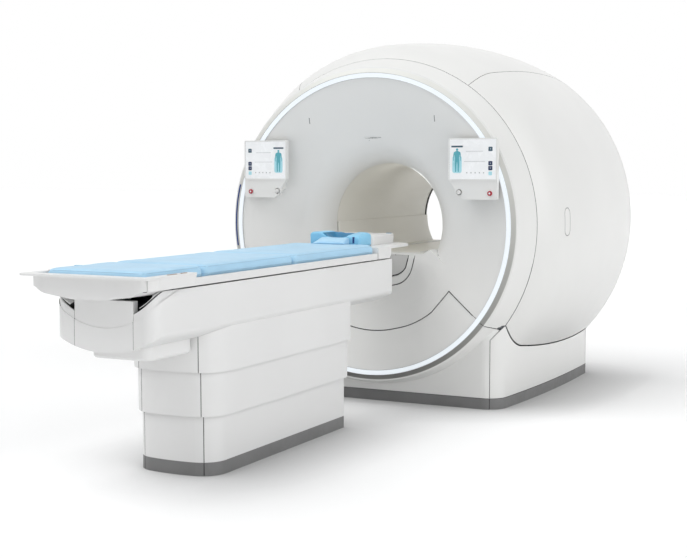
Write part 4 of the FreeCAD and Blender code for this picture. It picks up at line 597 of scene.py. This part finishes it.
def shade_seam_walls():
    """Painted seam shade: a dark material on cover faces that look straight across a narrow seam."""
    tree = cad_surface()
    for entry in frame["record"]["subparts"]:
        if entry["material_slot"] not in SHADED_SLOTS:
            continue
        mesh = NODES[entry["node"]].data
        mesh.materials.append(MATERIALS["painted_seam_shade"])
        open_side = OPEN_SIDES.get(entry["node"], 0.0)
        shaded_edges = set()
        for polygon in mesh.polygons:
            wide = breadth(mesh, polygon) > SEAM_BREADTH
            if wide or polygon.normal.z * open_side > OPEN_TILT:
                continue
            if looks_across(tree, mesh, polygon):
                # Painted shade on a wall that looks across a seam.
                polygon.material_index = 1
                shaded_edges.update(shared_edges(mesh, polygon))
        if entry["node"] in GROOVED:
            shade_groove_facets(mesh, shaded_edges)


def seam_edges(mesh):
    """Each edge between a bare face and one with painted seam shade: the bare face and the edge's ends."""
    owners = {}
    for polygon in mesh.polygons:
        for key, ends in shared_edges(mesh, polygon).items():
            owners.setdefault(key, []).append((polygon, ends))
    for pair in owners.values():
        if len(pair) == 2 and pair[0][0].material_index != pair[1][0].material_index:
            face, ends = pair[0] if pair[0][0].material_index == 0 else pair[1]
            start, end = (mesh.vertices[index].co for index in ends)
            yield face, start, end


def add_bead(work, face, start, end, radius):
    """A short bead along an edge, a little longer than the edge."""
    along = (end - start).normalized()
    across = along.cross(face.normal).normalized()
    upward = along.cross(across).normalized()
    turns = [math.tau * step / BEAD_SIDES for step in range(BEAD_SIDES)]
    spokes = [radius * (math.cos(turn) * across + math.sin(turn) * upward) for turn in turns]
    overlap = BEAD_OVERLAP * radius * along
    add_rings(work, [[point + spoke for spoke in spokes] for point in (start - overlap, end + overlap)])


def seam_beads(name, nodes, radius, low, high):
    """Round dark beads of painted seam shade along the forward edges of shaded faces, inside a box."""
    work = bmesh.new()
    for node in nodes:
        for face, start, end in seam_edges(NODES[node].data):
            middle = 0.5 * (start + end)
            inside = all(low[axis] <= middle[axis] <= high[axis] for axis in range(3))
            in_channel = RING_CHANNEL[0] < math.hypot(middle.x, middle.z - BORE_HEIGHT) < RING_CHANNEL[1]
            seen = face.normal.y <= BEAD_TILT and (end - start).length >= SHORTEST_BEAD
            if inside and seen and not in_channel:
                add_bead(work, face, start, end, radius)
    dress(built(name, work), "painted_seam_shade", "gantry_and_base")


def make_seam_details():
    """Dark beads of painted seam shade along the blackest seams, a dark ring at the bore's rear end and a
    strip beside the ring.
    """
    for name, nodes, radius, half_width, deepest, lowest, highest in BEADS:
        low = (-half_width, place(BEAD_FRONT_MM), lowest)
        high = (half_width, place(deepest), highest)
        seam_beads(name, nodes, radius, low, high)
    edge = bore_arc(BORE_RADIUS - 0.0015, first=-24.0, last=204.0, steps=72)
    rear_ring = tube("rear_dark_ring", [(x, place(BORE_END_MM), z) for x, z in edge], radius=0.006)
    dress(rear_ring, "painted_seam_shade", "gantry_and_base")
    beside = front_points("front_collar", bore_arc(RING_RADIUS + 0.018, first=165.0, last=189.0, steps=24))
    strip = tube("ring_side_strip", beside, radius=0.0055)
    dress(strip, "strap_navy", "gantry_and_base")


def ledge_height(x, reach):
    """The tilted scoop's surface, or just under the foot cover where that is lower."""
    scoop = SCOOP_HEIGHT + SCOOP_RISE * reach - math.sqrt(SCOOP_RADIUS ** 2 - x * x)
    under_cover = COVER_LOWEST + COVER_RISE * max(0.0, x - COVER_BEND)
    return min(scoop, under_cover)


def make_rim_ledges():
    """Sloping ledge inside the housing's hollowed rim at its foot end, on both sides."""
    foot = place(FOOT_END_MM)
    along = [LEDGE_ALONG[0] + LEDGE_ALONG[1] * step for step in range(LEDGE_ROWS)]
    across = [LEDGE_ACROSS[0] + LEDGE_ACROSS[1] * step for step in range(LEDGE_ROWS)]
    for side, word in SIDES:
        rows = []
        for reach in along:
            top = [(side * x, foot + reach, ledge_height(x, reach)) for x in across]
            rows.append(top + [(x, y, z - LEDGE_THICKNESS) for x, y, z in reversed(top)])
        ledge = ring_solid("rim_ledge_" + word, rows)
        smooth(ledge.data, LEDGE_CREASE)
        dress(ledge, "table_white", "upper_stage")


# ---- soft pieces ---------------------------------------------------------------------
def ring_points(low, high, inset, z, steps=6):
    """Points at one height round a mattress section's rounded outline, drawn in by inset."""
    corner = max(MATTRESS_CORNER - inset, 0.002)
    sides = (low.x + inset, high.x - inset, low.y + inset, high.y - inset)
    return [(x, y, z) for x, y in rounded_box(*sides, corner, steps)]


def pad_start(name, low, high):
    """The flat-bottomed shape that a mattress section starts from."""
    height = high.z - low.z
    levels = ((0.0, 0.007), (0.08, 0.003), (0.30, 0.001), (0.55, 0.0015), (0.76, 0.005), (0.90, 0.012))
    rings = [ring_points(low, high, inset, low.z + share * height) for share, inset in levels]
    return ring_solid(name, rings)


def solid_copy(piece):
    """Take the piece's modifiers into its mesh."""
    graph = bpy.context.evaluated_depsgraph_get()
    mesh = bpy.data.meshes.new_from_object(piece.evaluated_get(graph))
    piece.modifiers.clear()
    piece.data = mesh


def points_of(mesh):
    """The mesh's points as rows of an array."""
    values = np.empty(len(mesh.vertices) * 3)
    mesh.vertices.foreach_get("co", values)
    return values.reshape(-1, 3)


def swell(piece, low, high, voxel, pressure, cap):
    """Fill a pad with the cloth solver; no point moves more than cap or leaves its box."""
    remesh = piece.modifiers.new("remesh", "REMESH")
    remesh.mode = "VOXEL"
    remesh.voxel_size = voxel
    solid_copy(piece)
    start = points_of(piece.data)
    cloth = piece.modifiers.new("cloth", "CLOTH")
    for key, value in CLOTH.items():
        setattr(cloth.settings, key, value)
    cloth.settings.uniform_pressure_force = pressure
    cloth.settings.effector_weights.gravity = 0.0
    cloth.point_cache.frame_start = 1
    cloth.point_cache.frame_end = SWELL_FRAMES
    scene = bpy.context.scene
    for number in range(1, SWELL_FRAMES + 1):
        scene.frame_set(number)
    solid_copy(piece)
    moved = points_of(piece.data) - start
    length = np.linalg.norm(moved, axis=1, keepdims=True)
    moved *= np.minimum(1.0, cap / np.maximum(length, 1e-9))
    placed = np.clip(start + moved, np.array(low), np.array(high))
    piece.data.vertices.foreach_set("co", placed.ravel())
    scene.frame_set(1)


def finish_soft(piece, *materials):
    """Subdivide and smooth a soft piece and give it its materials."""
    subdivision = piece.modifiers.new("subdivision", "SUBSURF")
    subdivision.levels = 1
    subdivision.render_levels = 1
    solid_copy(piece)
    piece.data.shade_smooth()
    piece.data.materials.clear()
    for material in materials:
        piece.data.materials.append(MATERIALS[material])


def stand_for(piece, node):
    """A padded piece on the tabletop that replaces its CAD solid."""
    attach(piece, "tabletop")
    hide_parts(node)


def subdivided(outline, step):
    """The closed outline with points no further apart than step."""
    result = []
    for point, following in zip(outline, outline[1:] + outline[:1]):
        start, end = Vector(point), Vector(following)
        count = max(1, math.ceil((end - start).length / step))
        result.extend(start.lerp(end, index / count) for index in range(count))
    return result


def surface_line(piece, outline):
    """Where level rays that aim at each point of a level outline from outside meet a pad."""
    reach = 0.4
    tree = BVHTree.FromObject(piece, bpy.context.evaluated_depsgraph_get())
    line = []
    for point, following in zip(outline, outline[1:] + outline[:1]):
        along = following - point
        outward = Vector((along.y, -along.x, 0.0)).normalized()
        hit = tree.ray_cast(point + reach * outward, -outward, 2.0 * reach)[0]
        if hit is not None:
            line.append(hit)
    return line


def make_mattress():
    """Three filled mattress sections, with painted shade on the ends where they meet and two welts round
    each.
    """
    for part in ("foot", "middle", "head"):
        node = "mattress_" + part
        low, high = box_of(node)
        inset = Vector((0.002, 0.0015, 0.0))
        piece = pad_start("pad_" + part, low + inset, high - inset)
        swell(piece, low, high, voxel=0.008, pressure=4.0, cap=0.007)
        finish_soft(piece, "pad_blue", "gap_shade_blue")
        for face in piece.data.polygons:
            from_foot, from_head = face.center.y - low.y, high.y - face.center.y
            at_end = abs(face.normal.y) > END_TILT and min(from_foot, from_head) < END_DEPTH
            outer = part == "foot" and from_foot < from_head
            # Painted shade on the ends where two sections meet, not on the foot section's outer end.
            if at_end and not outer:
                face.material_index = 1
        stand_for(piece, node)
        for level in WELT_LEVELS:
            outline = subdivided(ring_points(low, high, 0.0, low.z + level, 5), 0.02)
            welt = tube("welt_%s_%d" % (part, round(level * 1000)), surface_line(piece, outline),
                        WELT_RADIUS, True)
            dress(welt, "welt_blue", "tabletop")


def cradle_section(y, edge, bottom, left, right, hollow):
    """An upright section across the cradle: the right wall, the hollow and the left wall."""
    chamfer, lip, roll, brim = 0.004, 0.005, 0.016, 0.014

    def wall(top):
        """Points of a side wall, from its foot outside to the rim of the hollow."""
        return [(edge - chamfer, bottom), (edge, bottom + 2.0 * chamfer), (edge, top - roll),
                (edge - chamfer, top - lip), (edge - roll, top), (CRADLE_HOLLOW + brim, top),
                (CRADLE_HOLLOW + chamfer, top - chamfer)]

    section = wall(right)
    for step in range(9):
        across = math.cos(math.pi * step / 8.0)
        sink = 1.0 - abs(across) ** 3.0
        rim = (left if across < 0.0 else right) - 0.006
        section.append((CRADLE_HOLLOW * across, min(rim, rim - (rim - hollow) * sink)))
    section += [(-x, z) for x, z in reversed(wall(left))]
    return [(x, y, z) for x, z in section]


def make_cradle():
    """Head cradle: two side walls and a back round a hollow with a dark lining."""
    low, high = box_of("headrest")
    depth = high.z - low.z
    lip = low.z + 0.60 * depth
    floor = low.z + 0.34 * depth
    # Share of the length, inset of the outside, height of the hollow and drop of the right wall.
    stations = (
        (0.0, 0.004, lip, 0.022),
        (0.05, 0.001, lip, 0.019),
        (0.13, 0.0, lip - 0.002, 0.017),
        (0.24, 0.0, floor + 0.006, 0.015),
        (0.5, 0.0, floor, 0.011),
        (0.74, 0.0, floor + 0.006, 0.008),
        (0.84, 0.0, high.z - 0.010, 0.006),
        (0.93, 0.001, high.z - 0.002, 0.005),
        (1.0, 0.004, high.z - 0.008, 0.004),
    )
    rows = []
    for share, inset, hollow, drop in stations:
        y = low.y + share * (high.y - low.y)
        top = high.z - inset
        rows.append(cradle_section(y, high.x - inset, low.z, top, top - drop, hollow))
    piece = ring_solid("head_cradle", rows)
    swell(piece, low, high, voxel=0.005, pressure=3.0, cap=0.003)
    finish_soft(piece, "cushion_blue", "lining_blue")
    for face in piece.data.polygons:
        x, y, z = face.center
        within = abs(x) < CRADLE_HOLLOW + 0.004 and floor - 0.01 < z < high.z - 0.004
        back = y >= high.y - 0.020 or face.normal.y >= 0.5
        front = y < low.y + 0.02 and face.normal.y < -0.6
        if within and not back and not front:
            face.material_index = 1
    stand_for(piece, "headrest")
    make_cradle_strap(low, high)


def make_cradle_strap(low, high):
    """Dark upright tab on the front of the cradle's right wall."""
    left, right = 0.110, 0.1215
    bottom, top = low.z + 0.018, high.z - 0.0235
    x, z = 0.5 * (left + right), 0.5 * (bottom + top)
    half_x, half_z = 0.5 * (right - left), 0.5 * (top - bottom)
    front = low.y - 0.0012
    rows = []
    for back, scale in ((0.0, 0.9), (0.0016, 1.0), (0.004, 1.0)):
        corners = rectangle(x, z, scale * half_x, scale * half_z)
        rows.append([(corner_x, front + back, corner_z) for corner_x, corner_z in corners])
    dress(ring_solid("cradle_strap", rows), "strap_navy", "tabletop")


def make_neck_pad():
    """Low wedge pad in front of the cradle: it rises towards it and from the left side."""
    low, high = box_of("neck_pad")
    # Share of the width and share of the full height there.
    profile = ((0.0, 0.12), (0.03, 0.20), (0.12, 0.55), (0.21, 0.93), (0.27, 1.0), (0.5, 1.0), (0.9, 1.0),
               (0.97, 1.0), (1.0, 0.97))
    rows = []
    for share, full in profile:
        x = low.x + share * (high.x + 0.004 - low.x)
        inset = 0.006 * (abs(share - 0.5) * 2.0) ** 10
        up = (high.z - low.z) * full
        front, back = low.y + inset, high.y - inset
        section = ((front, 0.0), (back, 0.0), (back, 0.55 * up), (high.y - 0.010, up - 0.003),
                   (high.y - 0.030, up - 0.001), (low.y + 0.030, 0.72 * up), (low.y + 0.010, 0.42 * up),
                   (front, 0.18 * up))
        rows.append([(x, y, low.z + height) for y, height in section])
    piece = ring_solid("neck_wedge", rows)
    swell(piece, low, high, voxel=0.004, pressure=3.0, cap=0.003)
    finish_soft(piece, "pad_blue")
    stand_for(piece, "neck_pad")


# ---- small visible details -----------------------------------------------------------
def plate(name, outline, front_y, thickness, material, body):
    """A thin upright plate: a closed outline of x and z, facing the table."""
    rows = [[(x, y, z) for x, z in outline] for y in (front_y, front_y + thickness)]
    dress(ring_solid(name, rows), material, body)


def screen_symbols(side):
    """Name, outline, material and layer of each plain symbol on one screen."""
    figure, key = side * FIGURE_X, side * KEY_X
    tall = FIGURE_NECK - FIGURE_FOOT
    body = [(figure + side * x, FIGURE_FOOT + share * tall) for x, share in BODY_HALF]
    body += [(figure - side * x, FIGURE_FOOT + share * tall) for x, share in reversed(BODY_HALF)]
    yield "halo", rounded_outline(figure, 1.350, 0.027, 0.046, 0.012), "ui_halo", 0
    yield "figure", body, "ui_teal", 1
    yield "head", round_outline(figure, 1.4295, 0.0065, 4), "ui_teal", 1
    yield "bar", rounded_outline(figure, 1.446, 0.034, 0.0045, 0.004), "ui_slate", 1
    for number, (z, colour) in enumerate(((1.432, "ui_slate"), (1.356, "ui_navy"), (1.330, "ui_navy"))):
        yield "key_%d" % number, rounded_outline(key, z, 0.0115, 0.0115, 0.003), colour, 0
        yield "mark_%d" % number, round_outline(key, z, 0.0022, 4), "ui_pale", 1
    yield "lamp", rounded_outline(key, 1.302, 0.010, 0.010, 0.004), "ui_halo", 0
    for number in range(5):
        x = side * (0.612 + 0.024 * number)
        yield "dot_%d" % number, rounded_outline(x, 1.305, 0.0035, 0.0035, 0.001), "ui_grey", 0
    for name, z, half_x in (("line_a", 1.420, 0.050), ("line_b", 1.366, 0.060)):
        yield name, rounded_outline(side * 0.655, z, half_x, 0.0012, 0.001), "ui_grey", 0


def make_screen_symbols():
    """Plain generic symbols on both screens: a lying figure under a bar, keys and lines."""
    face = place(SCREEN_FACE_MM)
    for side, word in SIDES:
        for name, outline, material, layer in screen_symbols(side):
            plate("screen_%s_%s" % (word, name), outline, face - 0.0001 * layer, 0.0004, material,
                  "gantry_and_base")


def make_button_caps():
    """Pale flat centre on each stop button."""
    for side, word in SIDES:
        front = box_of("stop_button_" + word)[0].y
        outline = round_outline(side * BUTTON_X, BUTTON_Z, 0.0052, 6)
        plate("stop_centre_" + word, outline, front - 0.0003, 0.0008, "ui_pale", "stop_" + word)


def make_disc_marks():
    """Two short marks and a slim slot on the upper part of the front disc."""
    for name, x in (("mark_left", -MARK_X), ("mark_right", MARK_X)):
        corners = front_points("front_funnel", rectangle(x, MARK_Z, *MARK_HALF))
        laid_plate(name, corners, 0.0006, "seam_grey", "gantry_and_base")
    shares = [step / SLOT_STEPS for step in range(SLOT_STEPS + 1)]
    stroke = [SLOT_END] + [(SLOT_START[0] + SLOT_LENGTH * share, SLOT_START[1]) for share in shares]
    slot = tube("disc_slot", front_points("front_funnel", stroke), radius=0.0013)
    dress(slot, "seam_grey", "gantry_and_base")


def tabletop_mark(name, centre, half_x, half_y, thickness, material):
    """A small level plate that moves with the tabletop."""
    corners = [(x, y, centre[2]) for x, y in rectangle(centre[0], centre[1], half_x, half_y)]
    laid_plate(name, corners, thickness, material, "tabletop")


def make_table_marks():
    """Small strips and tabs on the foot cover's flange, the mattress and the connector box."""
    flange = box_of("foot_cover")[1].z - 0.001
    for name, x, ring_y, half_y in (("flange_strip_a", -0.289, -2345, 0.045),
                                    ("flange_strip_b", 0.289, -2345, 0.030),
                                    ("flange_strip_c", 0.289, -2262, 0.018)):
        tabletop_mark(name, (x, place(ring_y), flange), 0.0045, half_y, 0.0035, "strip_tan")
    centre = (-0.236, place(-2262), box_of("mattress_foot")[1].z - 0.007)
    tabletop_mark("mattress_tab", centre, 0.014, 0.012, 0.004, "strap_blue")
    corner = box_of("connector_box")[1]
    centre = (0.122, corner.y - 0.020, corner.z)
    tabletop_mark("connector_tab", centre, 0.014, 0.006, 0.0025, "lining_blue")


# ---- stage ---------------------------------------------------------------------------
def view_rays(tree):
    """1 for rays that only look: camera, glossy and transmission rays."""
    path = make_node(tree, "LightPath")
    total = path.outputs["Is Camera Ray"]
    for name in ("Is Glossy Ray", "Is Transmission Ray"):
        node = make_node(tree, "Math", operation="MAXIMUM")
        tree.links.new(total, node.inputs[0])
        tree.links.new(path.outputs[name], node.inputs[1])
        total = node.outputs["Value"]
    return total


def scaled(tree, source, factor):
    """The source times a constant."""
    node = make_node(tree, "Math", {1: factor}, operation="MULTIPLY")
    tree.links.new(source, node.inputs[0])
    return node.outputs["Value"]


def contact_shade(tree):
    """Painted contact shadow: 1 on the open floor, lower where the object stands close to it."""
    near = make_node(tree, "AmbientOcclusion", {"Distance": CONTACT_REACH}, samples=16)
    return remap(tree, near.outputs["AO"], CONTACT_SPAN, (CONTACT_LEVEL, 1.0))


def make_floor():
    """A wide pale floor that reads white where nothing shades it, with a painted contact shadow in its
    colour and glow near the object.
    """
    mesh = bpy.data.meshes.new("floor")
    corners = [(x, y, 0.0) for x, y in rectangle(0.0, 0.0, FLOOR_REACH, FLOOR_REACH)]
    mesh.from_pydata(corners, [], [(0, 1, 2, 3)])
    floor = show("floor", mesh)
    material, tree, shader = new_material("floor_paint")
    shaded = contact_shade(tree)
    tree.links.new(scaled(tree, shaded, FLOOR_WHITE), shader.inputs["Base Color"])
    shader.inputs["Roughness"].default_value = 0.7
    shader.inputs["Specular IOR Level"].default_value = 0.1
    shader.inputs["Emission Color"].default_value = (1.0, 1.0, 1.0, 1.0)
    glow = make_node(tree, "Math", operation="MULTIPLY")
    tree.links.new(scaled(tree, view_rays(tree), FLOOR_GLOW), glow.inputs[0])
    tree.links.new(shaded, glow.inputs[1])
    tree.links.new(glow.outputs["Value"], shader.inputs["Emission Strength"])
    mesh.materials.append(material)


def make_world():
    """Soft even light that looks white to the camera and in reflections."""
    world = bpy.data.worlds.new("studio")
    world.use_nodes = True
    tree = world.node_tree
    background = tree.nodes["Background"]
    background.inputs["Color"].default_value = (0.98, 0.99, 1.0, 1.0)
    background.inputs["Strength"].default_value = WORLD_LEVEL
    white = make_node(tree, "Background", {"Color": (1.0, 1.0, 1.0, 1.0), "Strength": 1.0})
    mix = make_node(tree, "MixShader")
    tree.links.new(view_rays(tree), mix.inputs["Fac"])
    tree.links.new(background.outputs["Background"], mix.inputs[1])
    tree.links.new(white.outputs["Background"], mix.inputs[2])
    tree.links.new(mix.outputs["Shader"], tree.nodes["World Output"].inputs["Surface"])
    bpy.context.scene.world = world


def make_lights():
    """Three wide soft suns and two small lamps in the bore."""
    for name, direction, strength, spread in SUNS:
        light = bpy.data.lights.new(name, "SUN")
        light.energy = strength
        light.angle = math.radians(spread)
        show(name, light).rotation_euler = Vector(direction).to_track_quat("-Z", "Y").to_euler()
    for number, ring_y in enumerate(BORE_LIGHTS_MM):
        name = "bore_light_%d" % number
        light = bpy.data.lights.new(name, "POINT")
        light.energy = BORE_LIGHT_WATTS
        light.shadow_soft_size = BORE_LIGHT_RADIUS
        show(name, light).location = (0.0, place(ring_y), BORE_LIGHT_HEIGHT)


def make_camera():
    """The camera of the photograph."""
    data = bpy.data.cameras.new("camera")
    data.lens = LENS_MM
    data.sensor_width = SENSOR_MM
    data.clip_end = FAR_CLIP
    camera = show("camera", data)
    camera.location = CAMERA_PLACE
    camera.rotation_euler = (math.radians(90.0 - CAMERA_DROP), 0.0, math.radians(CAMERA_TURN))
    bpy.context.scene.camera = camera


def main():
    """Dress the CAD nodes, add what they lack and set the stage."""
    bpy.context.scene.view_settings.view_transform = "Standard"
    dress_cad_nodes()
    shade_seam_walls()
    make_mattress()
    make_cradle()
    make_neck_pad()
    make_seam_details()
    make_rim_ledges()
    make_screen_symbols()
    make_button_caps()
    make_disc_marks()
    make_table_marks()
    make_floor()
    make_world()
    make_lights()
    make_camera()


main()
